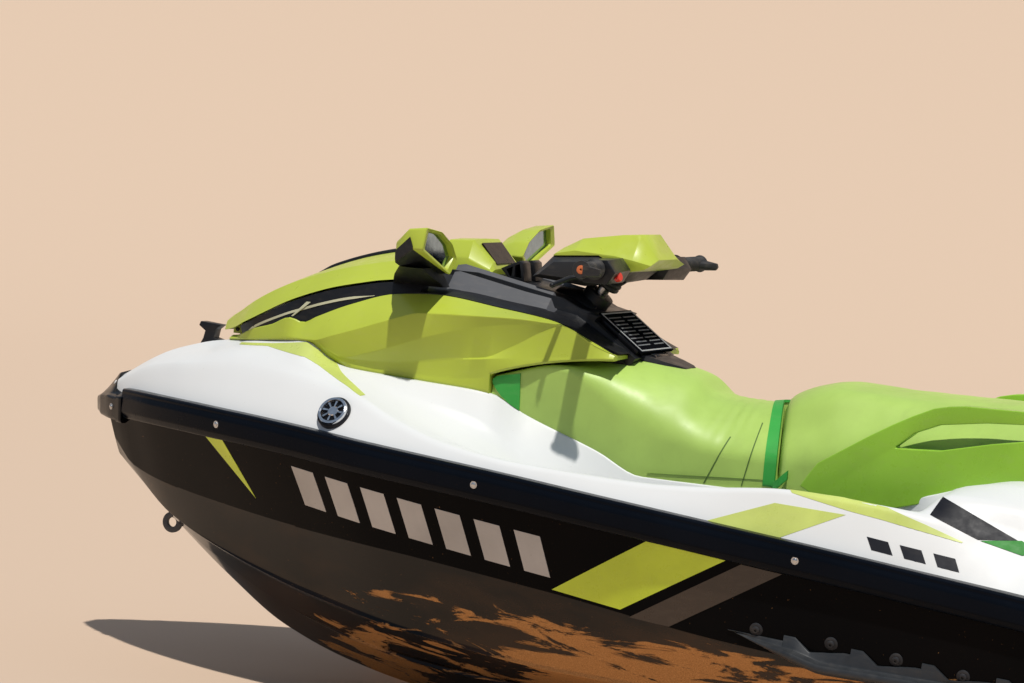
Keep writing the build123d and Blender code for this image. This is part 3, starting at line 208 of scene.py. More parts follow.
class Look:
    """A material, with short ways to add the nodes that vary it."""

    def __init__(self, name, color, rough, metal=0.0, coat=0.0, shine=0.5):
        self.material = bpy.data.materials.new(name)
        self.material.use_nodes = True
        self.material.diffuse_color = (*color, 1.0)
        self.nodes, self.links = self.material.node_tree.nodes, self.material.node_tree.links
        self.shader = self.nodes["Principled BSDF"]
        for socket, value in (("Base Color", color), ("Roughness", rough), ("Metallic", metal),
                              ("Coat Weight", coat), ("Coat Roughness", 0.06), ("Specular IOR Level", shine)):
            self.feed(value, self.shader.inputs[socket])
        self.place = self.add("TexCoord").outputs["Object"]

    def feed(self, value, socket):
        """Sets a socket to a number, vector or colour, or links another node's socket to it."""
        if isinstance(value, bpy.types.NodeSocket):
            self.links.new(value, socket)
        elif isinstance(value, tuple):
            socket.default_value = (*value, 1.0)[:len(socket.default_value)]
        else:
            socket.default_value = value

    def add(self, kind, **inputs):
        """A new node of a kind, with its inputs fed by name."""
        node = self.nodes.new("ShaderNode" + kind)
        for name, value in inputs.items():
            self.feed(value, node.inputs[name.replace("_", " ")])
        return node

    def stretched(self, scale):
        return self.add("Mapping", Vector=self.place, Scale=scale).outputs["Vector"]

    def noise(self, scale, detail=4.0, stretch=(1, 1, 1), rough=0.55, distortion=0.0):
        return self.add("TexNoise", Vector=self.stretched(stretch), Scale=scale, Detail=detail,
                        Roughness=rough, Distortion=distortion).outputs["Fac"]

    def cells(self, scale):
        return self.add("TexVoronoi", Vector=self.stretched((1, 1, 1)), Scale=scale).outputs["Distance"]

    def axis(self, name):
        return self.add("SeparateXYZ", Vector=self.place).outputs[name]

    def fit(self, value, low, high, to_low=0.0, to_high=1.0):
        """A value mapped from one range to another."""
        return self.add("MapRange", Value=value, From_Min=low, From_Max=high, To_Min=to_low,
                        To_Max=to_high).outputs["Result"]

    def sum(self, operation, *values):
        node = self.add("Math")
        node.operation = operation
        for socket, value in zip(node.inputs, values):
            self.feed(value, socket)
        return node.outputs["Value"]

    def mixed(self, factor, a, b):
        """A colour between two, by a factor."""
        node = self.add("Mix")
        node.data_type = "RGBA"
        self.links.new(factor, node.inputs["Factor"])
        for name, value in (("A", a), ("B", b)):
            self.feed(value, [s for s in node.inputs if s.name == name and s.type == "RGBA"][0])
        return [s for s in node.outputs if s.type == "RGBA"][0]

    def paint(self, color):
        self.links.new(color, self.shader.inputs["Base Color"])
        return self

    def polish(self, value):
        self.links.new(value, self.shader.inputs["Roughness"])
        return self

    def bump(self, height, strength, distance=0.001):
        node = self.add("Bump", Strength=strength, Distance=distance, Height=height)
        normal = self.shader.inputs["Normal"]
        if normal.is_linked:
            self.links.new(normal.links[0].from_socket, node.inputs["Normal"])
        self.links.new(node.outputs["Normal"], normal)
        return self


def tinted(color, share):
    """A colour made darker or lighter by a share."""
    return tuple(min(1.0, c * share) for c in color)


def plastic(name, color, rough, coat=0.0, grain=0.15, scale=900, spread_share=0.16, dust=0.0, shine=0.5):
    """Moulded plastic: a fine texture, uneven gloss, slight blotches and dust that settles on it."""
    look = Look(name, color, rough, coat=coat, shine=shine)
    blotch = look.fit(look.noise(5, 5), 0.35, 0.68)
    shade = look.mixed(blotch, tinted(color, 1 - spread_share), tinted(color, 1 + spread_share * 0.6))
    scuffs = look.fit(look.noise(60, 6, stretch=(0.5, 1, 1.6)), 0.52, 0.74)
    if dust:
        specks = look.sum("MULTIPLY", scuffs, dust)
        shade = look.mixed(specks, shade, (0.46, 0.38, 0.29))
    look.paint(shade)
    look.polish(look.fit(look.noise(38, 6), 0.3, 0.7, max(0.03, rough - 0.07), rough + 0.1))
    return look.bump(look.noise(scale, 2), grain, 0.0004)


def gelcoat_black(name, shine, haze):
    """Black gloss gelcoat, with sand smeared along the lower side and dry splashes above it."""
    black = (0.0035, 0.0035, 0.004)
    look = Look(name, black, 0.12, shine=shine)
    low = look.fit(look.axis("Z"), 0.36, 0.27)
    aft = look.fit(look.axis("X"), 1.15, 0.8)
    reach = look.sum("MULTIPLY", low, aft)
    streaks = look.noise(9.5, 9, stretch=(0.42, 1.2, 2.1), rough=0.66, distortion=0.9)
    patches = look.noise(2.1, 4, stretch=(0.8, 1, 1.8))
    mask = look.sum("ADD", look.sum("MULTIPLY", streaks, 0.62), look.sum("MULTIPLY", patches, 0.38))
    edge = look.sum("SUBTRACT", mask, look.fit(reach, 0.0, 1.0, 0.26, 0.0))
    sand = look.fit(edge, 0.484, 0.512)
    specks = look.fit(look.noise(210, 3), 0.735, 0.76)
    dirt = look.sum("MAXIMUM", sand, look.sum("MULTIPLY", specks, 0.55))
    grit = look.fit(look.noise(420, 4), 0.3, 0.7)
    sand_color = look.mixed(grit, (0.32, 0.135, 0.04), (0.60, 0.30, 0.105))
    film = look.fit(look.noise(3.4, 7, stretch=(0.6, 1, 1.5)), 0.44, 0.6, 0.0, haze)
    dusty = look.mixed(film, black, (0.25, 0.12, 0.045))
    look.paint(look.mixed(dirt, dusty, sand_color))
    gloss = look.fit(look.noise(26, 6), 0.3, 0.7, 0.05, 0.16)
    look.polish(look.sum("ADD", gloss, look.sum("MULTIPLY", dirt, 0.6)))
    look.bump(look.sum("MULTIPLY", sand, look.noise(300, 4)), 0.6, 0.0016)
    return look.bump(look.noise(6, 2), 0.05, 0.004)


def gelcoat_white():
    """White gloss gelcoat with a faint film of dust in its low places."""
    white = (0.68, 0.69, 0.685)
    look = Look("deck_gelcoat", white, 0.36, shine=0.3)
    film = look.fit(look.noise(3.2, 8, stretch=(0.7, 1, 1.3)), 0.46, 0.8, 0.0, 0.34)
    low = look.fit(look.axis("Z"), 0.70, 0.45, 0.25, 1.0)
    dusty = look.mixed(look.sum("MULTIPLY", film, low), white, (0.50, 0.45, 0.385))
    specks = look.fit(look.noise(190, 2), 0.76, 0.78, 0.0, 0.5)
    look.paint(look.mixed(specks, dusty, (0.32, 0.25, 0.2)))
    return look.polish(look.fit(look.noise(18, 6), 0.3, 0.75, 0.34, 0.5))


def vinyl(name, color):
    """Coated seat fabric: fine grain, soft sheen, worn highlights and a few dusty folds."""
    look = Look(name, color, 0.46)
    worn = look.fit(look.noise(3.4, 6), 0.38, 0.7)
    shade = look.mixed(worn, tinted(color, 0.88), tinted(color, 1.1))
    grime = look.fit(look.noise(24, 8, stretch=(1, 1, 0.6)), 0.55, 0.82, 0.0, 0.22)
    look.paint(look.mixed(grime, shade, tinted(color, 0.55)))
    look.polish(look.fit(look.noise(14, 5), 0.3, 0.7, 0.36, 0.56))
    look.bump(look.cells(560), 0.16, 0.0006)
    return look.bump(look.noise(46, 5), 0.1, 0.001)


def metal(name, color, rough, brushed=False):
    look = Look(name, color, rough, metal=1.0)
    stretch = (0.06, 1, 1) if brushed else (1, 1, 1)
    tone = look.fit(look.noise(60, 6, stretch=stretch), 0.3, 0.7)
    look.paint(look.mixed(tone, tinted(color, 0.78), tinted(color, 1.08)))
    look.polish(look.fit(look.noise(90, 5, stretch=stretch), 0.3, 0.7, max(0.02, rough - 0.08), rough + 0.12))
    return look.bump(look.noise(420, 3, stretch=stretch), 0.16, 0.0004)


def matting(name, color):
    """Grooved foam mat."""
    look = Look(name, color, 0.82)
    look.paint(look.mixed(look.fit(look.noise(9, 6), 0.35, 0.7), tinted(color, 0.8), tinted(color, 1.3)))
    return look.bump(look.cells(240), 0.5, 0.0012)


LOOKS = {
    "hull": gelcoat_black("hull_gelcoat", 0.2, 0.1),
    "hull_side": gelcoat_black("hull_side_gelcoat", 0.03, 0.004),
    "deck": gelcoat_white(),
    "rail": plastic("rail_rubber", (0.003, 0.0045, 0.008), 0.2, grain=0.04, shine=0.05),
    "black": plastic("black_plastic", (0.009, 0.0098, 0.012), 0.36, grain=0.3, dust=0.02, shine=0.28),
    "soft_black": plastic("soft_black", (0.022, 0.023, 0.027), 0.5, grain=0.5, scale=620, dust=0.05,
                          shine=0.35),
    "gloss_black": plastic("gloss_black", (0.005, 0.0055, 0.007), 0.2, grain=0.05, shine=0.2),
    "grey": plastic("grey_plastic", (0.062, 0.064, 0.072), 0.5, grain=0.3, dust=0.05),
    "light_grey": plastic("light_grey", (0.30, 0.32, 0.33), 0.4, grain=0.1),
    "fin": plastic("fin_plastic", (0.020, 0.023, 0.027), 0.42, grain=0.3, dust=0.03),
    "lime": plastic("lime_plastic", (0.43, 0.51, 0.05), 0.34, grain=0.2, dust=0.05, spread_share=0.07),
    "lime_decal": plastic("lime_film", (0.62, 0.76, 0.035), 0.3, coat=0.1, grain=0.04, dust=0.03),
    "pale_lime": plastic("pale_lime_film", (0.54, 0.62, 0.15), 0.3, coat=0.15, grain=0.04, dust=0.06),
    "strap_green": plastic("green_strap", (0.035, 0.36, 0.05), 0.5, grain=0.3, dust=0.05),
    "green_decal": plastic("green_film", (0.022, 0.24, 0.022), 0.5, coat=0.0, grain=0.04, shine=0.2),
    "brown": plastic("brown_film", (0.032, 0.019, 0.012), 0.3, coat=0.2, grain=0.04, dust=0.03),
    "pale_grey": plastic("pale_grey_film", (0.46, 0.44, 0.425), 0.34, coat=0.2, grain=0.04, dust=0.05),
    "black_film": plastic("black_film", (0.006, 0.007, 0.012), 0.5, grain=0.04, dust=0.02, shine=0.2),
    "label_print": plastic("label_print", (0.13, 0.14, 0.15), 0.6, grain=0.02),
    "label": plastic("label_face", (0.004, 0.0045, 0.006), 0.6, grain=0.02, shine=0.0),
    "cream": plastic("cream_film", (0.50, 0.49, 0.33), 0.4, grain=0.04),
    "vinyl": vinyl("seat_vinyl", (0.40, 0.58, 0.12)),
    # Dark green for the seams, and for the strip of painted shade along the driver seat's foot.
    "dark_vinyl": vinyl("seat_seam_and_painted_shade_vinyl", (0.09, 0.17, 0.03)),
    "rail_green": plastic("grab_rail_plastic", (0.26, 0.50, 0.035), 0.3, grain=0.12, dust=0.06,
                          spread_share=0.1),
    "mat": matting("foot_mat", (0.035, 0.036, 0.04)),
    "grip": plastic("grip_rubber", (0.014, 0.014, 0.015), 0.62, grain=0.4, dust=0.1),
    "orange": plastic("bar_end", (0.62, 0.16, 0.05), 0.4, grain=0.1),
    "red": plastic("stop_button", (0.75, 0.035, 0.02), 0.3, grain=0.05),
    "chrome": metal("chrome", (0.72, 0.73, 0.75), 0.1),
    "steel": metal("stainless", (0.60, 0.60, 0.60), 0.28, brushed=True),
    "alloy": metal("cast_alloy", (0.42, 0.43, 0.44), 0.42),
    "glass": metal("mirror_glass", (0.30, 0.42, 0.52), 0.06),
}


# Building and placing pieces

def shaded(obj, angle):
    """An object shaded smooth, apart from edges sharper than an angle."""
    obj.data.shade_smooth()
    obj.data.set_sharp_from_angle(angle=math.radians(angle))
    return obj


def placed(name, data):
    """A new object in the scene."""
    obj = bpy.data.objects.new(name, data)
    bpy.context.scene.collection.objects.link(obj)
    return obj


def mesh_of(name, part, weld):
    """A mesh from (points, faces), its faces outward."""
    mesh = bpy.data.meshes.new(name)
    mesh.from_pydata([tuple(p) for p in part[0]], [], part[1])
    shape = bmesh.new()
    shape.from_mesh(mesh)
    if weld:
        bmesh.ops.remove_doubles(shape, verts=shape.verts, dist=2e-5)
        bmesh.ops.dissolve_degenerate(shape, edges=shape.edges, dist=1e-5)
    bmesh.ops.recalc_face_normals(shape, faces=shape.faces)
    shape.to_mesh(mesh)
    shape.free()
    return mesh


def finish_piece(obj, body, look, smooth, stands_for):
    """Gives a piece its material, shading, body and the nodes that it stands for."""
    obj.data.materials.clear()
    obj.data.materials.append(LOOKS[look].material)
    shaded(obj, smooth)
    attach(obj, body)
    if stands_for:
        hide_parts(*stands_for)
    return obj


def build(name, part, look, body="craft", smooth=32, stands_for=(), weld=True):
    """A piece of the scene from (points, faces)."""
    return finish_piece(placed(name, mesh_of(name, part, weld)), body, look, smooth, stands_for)


def loft(rings):
    """Points and faces through closed rings that have as many points each, with both ends closed."""
    count = len(rings[0])
    points = [point for ring in rings for point in ring]
    faces = []
    for i in range(len(rings) - 1):
        for k in range(count):
            a, b = i * count + k, i * count + (k + 1) % count
            faces.append((a, b, b + count, a + count))
    last = (len(rings) - 1) * count
    return points, faces + [tuple(range(count)), tuple(range(last, last + count))]


def flipped(points):
    """The starboard twin of port points."""
    return [Vector((p[0], -p[1], p[2])) for p in points]


def joined(parts):
    """One list of points and faces from several (points, faces)."""
    points, faces = [], []
    for part_points, part_faces in parts:
        start = len(points)
        points += list(part_points)
        faces += [tuple(start + k for k in face) for face in part_faces]
    return points, faces


def pair(part):
    """A port part and its starboard twin as one (points, faces)."""
    return joined([part, (flipped(part[0]), part[1])])


def section(s, points, side=1):
    """Points (y, z) at one station, to port or with -1 to starboard."""
    return [at(s, y * side, z) for y, z in points]


def full_ring(s, half):
    """A closed ring at a station, from its port half in (y, z), listed from the bottom up."""
    return section(s, half) + section(s, half[::-1], -1)


def whole_ring(s, half):
    """The same, without twins of the points on the middle plane."""
    return section(s, half) + section(s, [point for point in half[::-1] if point[0]], -1)


def modified(obj, kind, **settings):
    """Adds a modifier to an object and applies it at once."""
    modifier = obj.modifiers.new(kind.lower(), kind)
    for key, value in settings.items():
        setattr(modifier, key, value)
    graph = bpy.context.evaluated_depsgraph_get()
    mesh = bpy.data.meshes.new_from_object(obj.evaluated_get(graph))
    obj.modifiers.clear()
    old = obj.data
    obj.data = mesh
    bpy.data.meshes.remove(old)
    return obj


def carved(obj, cutters):
    """An object with closed (points, faces) shapes cut out of it."""
    for part in cutters:
        cutter = placed("cutter", mesh_of("cutter", part, False))
        modified(obj, "BOOLEAN", operation="DIFFERENCE", object=cutter, solver="EXACT")
        bpy.data.objects.remove(cutter)
    return obj


def eased(obj, width, segments, angle):
    """An object whose edges sharper than an angle are rounded."""
    return modified(obj, "BEVEL", width=width * MM, segments=segments, limit_method="ANGLE",
                    angle_limit=math.radians(angle))


def box_part(s0, s1, y0, y1, z0, z1):
    """A plain box between stations, as (points, faces)."""
    return loft([section(s, ((y0, z0), (y1, z0), (y1, z1), (y0, z1))) for s in (s0, s1)])


def plate_part(outline, y0, y1):
    """A plate with an outline in (s, z), from y0 to y1."""
    return loft([[at(s, y, z) for s, z in outline] for y in (y0, y1)])


def turned_part(profile, center, direction, count=32):
    """A lathe shape: profile of (radius, distance) in mm about a line through a point in metres."""
    line = Vector(direction).normalized()
    side = line.orthogonal().normalized()
    up = line.cross(side)
    rings = [[center + line * distance * MM + (side * math.cos(t) + up * math.sin(t)) * max(radius, 0.05) * MM
              for t in (2 * math.pi * k / count for k in range(count))] for radius, distance in profile]
    return loft(rings)


def dressed(node, look, width, name=None, segments=2):
    """A CAD node's own shape with eased edges, which stands for the node."""
    source = frame["nodes"][node]
    mesh = source.data.copy()
    mesh.name = name or node + "_dressed"
    shape = bmesh.new()
    shape.from_mesh(mesh)
    shape.transform(source.matrix_world)
    bmesh.ops.remove_doubles(shape, verts=shape.verts, dist=1e-5)
    bmesh.ops.dissolve_limit(shape, angle_limit=math.radians(0.6), verts=shape.verts, edges=shape.edges)
    shape.to_mesh(mesh)
    shape.free()
    obj = placed(mesh.name, mesh)
    if width:
        eased(obj, width, segments, 32)
    return finish_piece(obj, source["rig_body"], look, 34, (node,))


# Hull

def strake(inner, outer, share, width, depth):
    """A lifting strake's three points (y, z, radius) on the line from inner to outer."""
    a, b = Vector(inner), Vector(outer)
    line = (b - a).normalized()
    down = Vector((line.y, -line.x))
    foot = a + (b - a) * share
    return [(*(foot - line * width), 2), (*(foot + down * depth), 1.5), (*(foot + line * 2), 2)]


def strake_size(s, start, full):
    """How much of its full size a strake has at a station."""
    return min(1.0, max(0.02, (s - start) / (full - start)))


def liner(s):
    """The two points where the deck liner drops into the hull."""
    sheer_y, sheer_z = along(SHEER, s)
    ledge_y = sheer_y - min(LINER_LEDGE, 0.3 * sheer_y)
    drop = max(0.0, along(LINER_DROP, s)[0]) if LINER_DROP[0][0] < s < LINER_DROP[-1][0] else 0.0
    return [(ledge_y, sheer_z), (ledge_y * LINER_TAPER, sheer_z - drop)]


def hull_half(s):
    keel, chine, knuckle, sheer = (along(line, s) for line in (KEEL, CHINE, KNUCKLE, SHEER))
    lower = strake(keel, chine, 0.46, 26 * strake_size(s, 620, 900), 9 * strake_size(s, 620, 900))
    upper = strake(keel, chine, 0.97, 30 * strake_size(s, 260, 700), 10 * strake_size(s, 260, 700))
    corners = [(0, keel[1], 0), (*keel, 6)] + lower + upper + [(*knuckle, 3), (*sheer, 0)]
    return rounded(corners, steps=3) + liner(s)


def shaft_and_jet_cutters():
    """The intake duct, pump tunnel, nozzle recess and engine bay."""
    duct = plate_part([(2250, -1), (2701, -1), (2701, 221), (2640, 221)], -86, 86)
    tunnel = box_part(2700, 3263, -130, 130, -1, 272)
    recess = box_part(2920, 3263, -152, 152, 12, 344)
    shaft = turned_part([(17, 0), (17, 2703 - FLOOR_S1)], at(FLOOR_S1 - 1, 0, 140), (-1, 0, 0), 24)
    return [duct, tunnel, recess, box_part(*BAY_CUTTER), shaft]


# Boxes cut out of the shells for the engine bay and the storage bin.
BAY_CUTTER = (FLOOR_S0, FLOOR_S1, -164, 164, 112, 800)
BIN_CUTTER = (500, 880, -124, 124, 430, 900)
BIN_SEAT_CUTTER = (478, 902, -138, 138, 764, 900)


def make_hull():
    rings = [full_ring(s, hull_half(s)) for s in spread(HULL_START_S, HULL_END_S)]
    shell = build("hull_shell", loft(rings), "hull", smooth=24, stands_for=("hull",))
    carved(shell, shaft_and_jet_cutters() + [box_part(*BIN_CUTTER)])
    shaded(shell, 24)
    shell.data.materials.append(LOOKS["hull_side"].material)
    for face in shell.data.polygons:
        s, y, z = BOW_X - face.center.x / MM, abs(face.center.y) / MM, face.center.z / MM
        knuckle_y, knuckle_z = along(KNUCKLE, s)
        if z > knuckle_z and y > 0.6 * knuckle_y:
            face.material_index = 1


def hull_side(s, z):
    """The y of the hull's upper side band at a height."""
    knuckle_y, knuckle_z = along(KNUCKLE, s)
    sheer_y, sheer_z = along(SHEER, s)
    return knuckle_y + (sheer_y - knuckle_y) * (z - knuckle_z) / (sheer_z - knuckle_z)


def deck_profile(s):
    """The deck's rounded outer profile in (y, z), from the sheer to the ridge."""
    shoulder = along(SHOULDER_ROUND, s)[0]
    crest = along(CREST_ROUND, s)[0]
    floor = along(FLOOR_ROUND, s)[0]
    corners = [(*along(SHEER, s), 0), (*along(SHOULDER, s), shoulder), (*along(CREST, s), crest),
               (*along(CREST_IN, s), crest), (*along(FLOOR_OUT, s), floor), (*along(FLOOR_IN, s), floor),
               (*along(RIDGE, s), 4), (0, along(RIDGE, s)[1], 0)]
    return rounded(corners)


def deck_side(s, z):
    """The y of the deck's outer side at a height, found from the sheer upwards."""
    profile = deck_profile(s)
    for (y0, z0), (y1, z1) in zip(profile, profile[1:]):
        if z0 <= z <= z1 and z1 > z0:
            return y0 + (y1 - y0) * (z - z0) / (z1 - z0)
        if z1 < z0:
            return y0
    return profile[-1][0]


def walk(edge, t):
    """The point at a share t of the way along a line of points."""
    spans = [math.dist(p, q) for p, q in zip(edge, edge[1:])]
    goal = t * sum(spans)
    for p, q, span in zip(edge, edge[1:], spans):
        if goal <= span or q is edge[-1]:
            return between(p, q, min(1.0, goal / span))
        goal -= span


def decal_part(surface, edge_a, edge_b, columns=24, rows=6):
    """A thin film on a side surface, between two lines of (s, z) points."""
    layers = []
    for offset in (DECAL_LIFT, -DECAL_DEPTH):
        grid = []
        for i in range(columns + 1):
            a, b = walk(edge_a, i / columns), walk(edge_b, i / columns)
            for k in range(rows + 1):
                s, z = between(a, b, k / rows)
                y = surface(s, z)
                slope_z = (surface(s, z + 2) - surface(s, z - 2)) / 4
                slope_s = (surface(s + 4, z) - surface(s - 4, z)) / 8
                normal = Vector((slope_s, 1, -slope_z)).normalized()
                grid.append(at(s, y, z) + normal * offset * MM)
        layers.append(grid)
    across = rows + 1
    count = (columns + 1) * across
    faces = []
    for i in range(columns):
        for k in range(rows):
            a = i * across + k
            faces.append((a, a + 1, a + across + 1, a + across))
            faces.append((count + a, count + a + across, count + a + across + 1, count + a + 1))
    rim = [i * across for i in range(columns + 1)]
    rim += [columns * across + k for k in range(1, across)]
    rim += [i * across + rows for i in range(columns - 1, -1, -1)]
    rim += [k for k in range(rows - 1, 0, -1)]
    for a, b in zip(rim, rim[1:] + rim[:1]):
        faces.append((a, b, b + count, a + count))
    return layers[0] + layers[1], faces


def decal(name, surface, edge_a, edge_b, look, slot, **sizes):
    part = pair(decal_part(surface, edge_a, edge_b, **sizes))
    return build(name, part, look, smooth=60, weld=False)


def bar_decals(name, surface, look, place, count, pitch, size, lean, fall):
    """A row of slanted bars: place (s, z), size (width, height), lean of each and fall of the row."""
    parts = []
    for i in range(count):
        s = place[0] + pitch * i
        z = place[1] + fall * pitch * i
        width, height = size
        top = [(s + lean, z + height / 2), (s + lean + width, z + height / 2 + fall * width)]
        low = [(s, z - height / 2), (s + width, z - height / 2 + fall * width)]
        parts.append(decal_part(surface, top, low, columns=8, rows=6))
    return build(name, pair(joined(parts)), look, smooth=60, weld=False)


def make_hull_decals():
    decal("hull_wedge", hull_side, [(467, 580), (594, 446)], [(524, 582), (595, 444)], "lime_decal", "lime")
    decal("hull_lime_stripe", hull_side, [(1685, 506), (1449, 362)], [(1872, 488), (1622, 342)],
          "lime_decal", "lime")
    decal("hull_brown_stripe", hull_side, [(1908, 484), (1644, 328)], [(2003, 475), (1742, 321)],
          "brown", "hull_black")
    bar_decals("hull_bars", hull_side, "pale_grey", (762, 502), 7, 103, (66, 92), -22, -0.098)


def make_deck():
    rings = []
    for s in spread(HULL_START_S, DECK_END_S, 20):
        rings.append(full_ring(s, liner(s)[::-1] + deck_profile(s)))
    shell = build("deck_shell", loft(rings), "deck", smooth=30, stands_for=("deck",))
    carved(shell, [box_part(*box) for box in (BIN_CUTTER, BIN_SEAT_CUTTER, BAY_CUTTER)])
    shaded(shell, 30)
    return shell


def view_axes():
    """The camera's directions: ahead, right and up."""
    yaw, pitch, roll = (math.radians(a) for a in (CAMERA_YAW, CAMERA_PITCH, CAMERA_ROLL))
    ahead = Vector((math.cos(pitch) * math.cos(yaw), math.cos(pitch) * math.sin(yaw), math.sin(pitch)))
    level = ahead.cross(Vector((0, 0, 1))).normalized()
    above = level.cross(ahead)
    right = level * math.cos(roll) + above * math.sin(roll)
    return ahead, right, above * math.cos(roll) - level * math.sin(roll)


def seen_film(name, target, corners, look, columns=24, rows=14):
    """A film laid where the camera sees four corners of the picture, with a twin to starboard."""
    bpy.context.view_layer.update()
    ahead, right, up = view_axes()
    back = target.matrix_world.inverted()
    eye = back @ (Vector(CAMERA_PLACE) * MM)
    a, b, c, d = corners
    found = []
    for i in range(columns + 1):
        for k in range(rows + 1):
            u, v = between(between(a, b, i / columns), between(d, c, i / columns), k / rows)
            line = ahead * CAMERA_FOCAL + right * (u - FRAME_WIDTH / 2) + up * (FRAME_HEIGHT / 2 - v)
            hit, place, normal, _ = target.ray_cast(eye, (back.to_3x3() @ line).normalized())
            found.append(target.matrix_world @ (place + normal * FILM_LIFT * MM) if hit else None)
    across = rows + 1
    faces = []
    for i in range(columns):
        for k in range(rows):
            face = (i * across + k, i * across + k + 1, (i + 1) * across + k + 1, (i + 1) * across + k)
            spots = [found[index] for index in face]
            if None in spots or max((p - q).length for p in spots for q in spots) > FILM_JUMP * MM:
                continue
            faces.append(face)
    points = [point or Vector() for point in found]
    film = build(name, pair((points, faces)), look, smooth=60, weld=False)
    mesh = bmesh.new()
    mesh.from_mesh(film.data)
    loose = [corner for corner in mesh.verts if not corner.link_faces]
    bmesh.ops.delete(mesh, geom=loose, context="VERTS")
    mesh.to_mesh(film.data)
    mesh.free()


def make_deck_decals(shell):
    decal("bow_wedge", deck_side, [(447, 794), (560, 806), (668, 822), (786, 768), (890, 728)],
          [(450, 790), (549, 799), (686, 790), (805, 750), (886, 726)], "pale_lime", "lime_pale", columns=40)
    decal("side_parallelogram", deck_side, [(1803, 562), (1957, 621)], [(1976, 547), (2118, 615)],
          "pale_lime", "lime_pale")
    decal("side_sweep", deck_side, [(1981, 652), (2100, 650), (2203, 640), (2288, 615), (2376, 587)],
          [(1990, 646), (2121, 624), (2198, 614), (2316, 595), (2374, 585)], "pale_lime", "lime_pale",
          columns=36)
    seen_film("haunch_trapezoid", shell, [(930, 515), (943, 497), (1018, 541), (978, 540)], "black_film")
    seen_film("haunch_tip", shell, [(980, 541), (1022, 541), (1040, 554), (1022, 556)], "green_decal")
    bar_decals("side_bars", deck_side, "black_film", (2190, 563), 3, 74, (48, 26), -16, -0.12)


# Rails, bumpers and small fittings

def rail_corners(s):
    """The rub rail's section in (y, z, radius), on the joint of the hull and the deck."""
    sheer_y, sheer_z = along(SHEER, s)
    middle = sheer_z + along(RAIL_RISE, s)[0]
    low, high, out = middle - RAIL_DOWN, middle + RAIL_UP, sheer_y + RAIL_OUT
    low_y = hull_side(s, low) if low < sheer_z else sheer_y
    return [(low_y - 2, low, 1), (out - 14, low, 5), (out - 4, low + 13, 4), (out - 1, low + 17, 4),
            (out, high - 22, 6), (out - 5, high - 12, 3), (out - 4, high - 5, 3), (out - 10, high, 4),
            (deck_side(s, high) - 2, high, 1)]


def make_rails():
    rings = []
    for s in spread(RAIL_START_S, RAIL_END_S):
        rings.append(section(s, rounded(rail_corners(s), steps=3)))
    build("rub_rail_pair", pair(loft(rings)), "rail", smooth=40, stands_for=("rub_rails",))


def screw_part(place, direction, radius=9.0):
    """A domed screw on a washer."""
    profile = [(0, -2), (1, -2), (1, 1.2), (0.92, 1.8), (0.62, 1.8), (0.6, 3.0), (0.45, 4.0), (0.2, 4.4),
               (0, 4.4)]
    return turned_part([(radius * share, height) for share, height in profile], place, direction, 20)


def make_rail_screws():
    parts = []
    for s in (515, 1265, 2036, 2800):
        sheer_y, sheer_z = along(SHEER, s)
        place = at(s, sheer_y + RAIL_OUT - 2, sheer_z + along(RAIL_RISE, s)[0])
        heading = (along(SHEER, s + 10)[0] - along(SHEER, s - 10)[0]) / 20
        parts.append(screw_part(place, (heading, 1, 0)))
    build("rail_screws", pair(joined(parts)), "steel", smooth=30)


# The bow bumper's sections by station: corners (y, z, radius) from below.
BUMPER = [(4, [(0, 572, 0), (30, 572, 8), (36, 606, 6), (30, 610, 4), (14, 613, 4), (0, 614, 0)]),
          (24, [(0, 566, 0), (58, 566, 10), (66, 614, 6), (44, 622, 4), (22, 632, 4), (0, 634, 0)]),
          (64, [(0, 562, 0), (94, 563, 10), (104, 620, 6), (84, 626, 4), (46, 672, 5), (0, 676, 0)]),
          (72, [(0, 562, 0), (102, 563, 10), (110, 620, 6), (90, 626, 4), (56, 680, 5), (0, 684, 0)]),
          (82, [(0, 562, 0), (110, 563, 10), (118, 620, 6), (98, 626, 4), (52, 650, 5), (0, 654, 0)]),
          (130, [(0, 562, 0), (146, 564, 10), (153, 622, 6), (126, 628, 4), (60, 640, 5), (0, 644, 0)])]


def bumper_half(s):
    """The bow bumper's half section at a station, read from its few sections."""
    for (s0, half0), (s1, half1) in zip(BUMPER, BUMPER[1:]):
        if s <= s1:
            t = max(0.0, (s - s0) / (s1 - s0))
            return [between(a, b, t) for a, b in zip(half0, half1)]
    return BUMPER[-1][1]


def make_bow_bumper():
    rings = []
    for s in spread(2, 129, 8):
        rings.append(whole_ring(s, rounded(bumper_half(s), steps=3)))
    build("bow_bumper_cap", loft(rings), "gloss_black", smooth=30, stands_for=("bow_bumper",))
    rings = []
    for s in spread(112, 134, 6):
        outline = [(y * 1.02 + 3, z + (4 if z > 600 else -3), r) for y, z, r in bumper_half(s)]
        outline = rounded(outline, steps=3)
        rings.append(section(s, outline) + section(s, outline[-2:0:-1], -1))
    build("bow_bumper_trim", loft(rings), "gloss_black", smooth=30)
    build("bow_bumper_screws", pair(screw_part(at(88, 119, 596), (0.62, 0.8, 0), 8)), "steel")


FILLER_PLACE = (841, 441, 684)
FILLER_TILT = math.radians(55)
FILLER_RIBS = 8


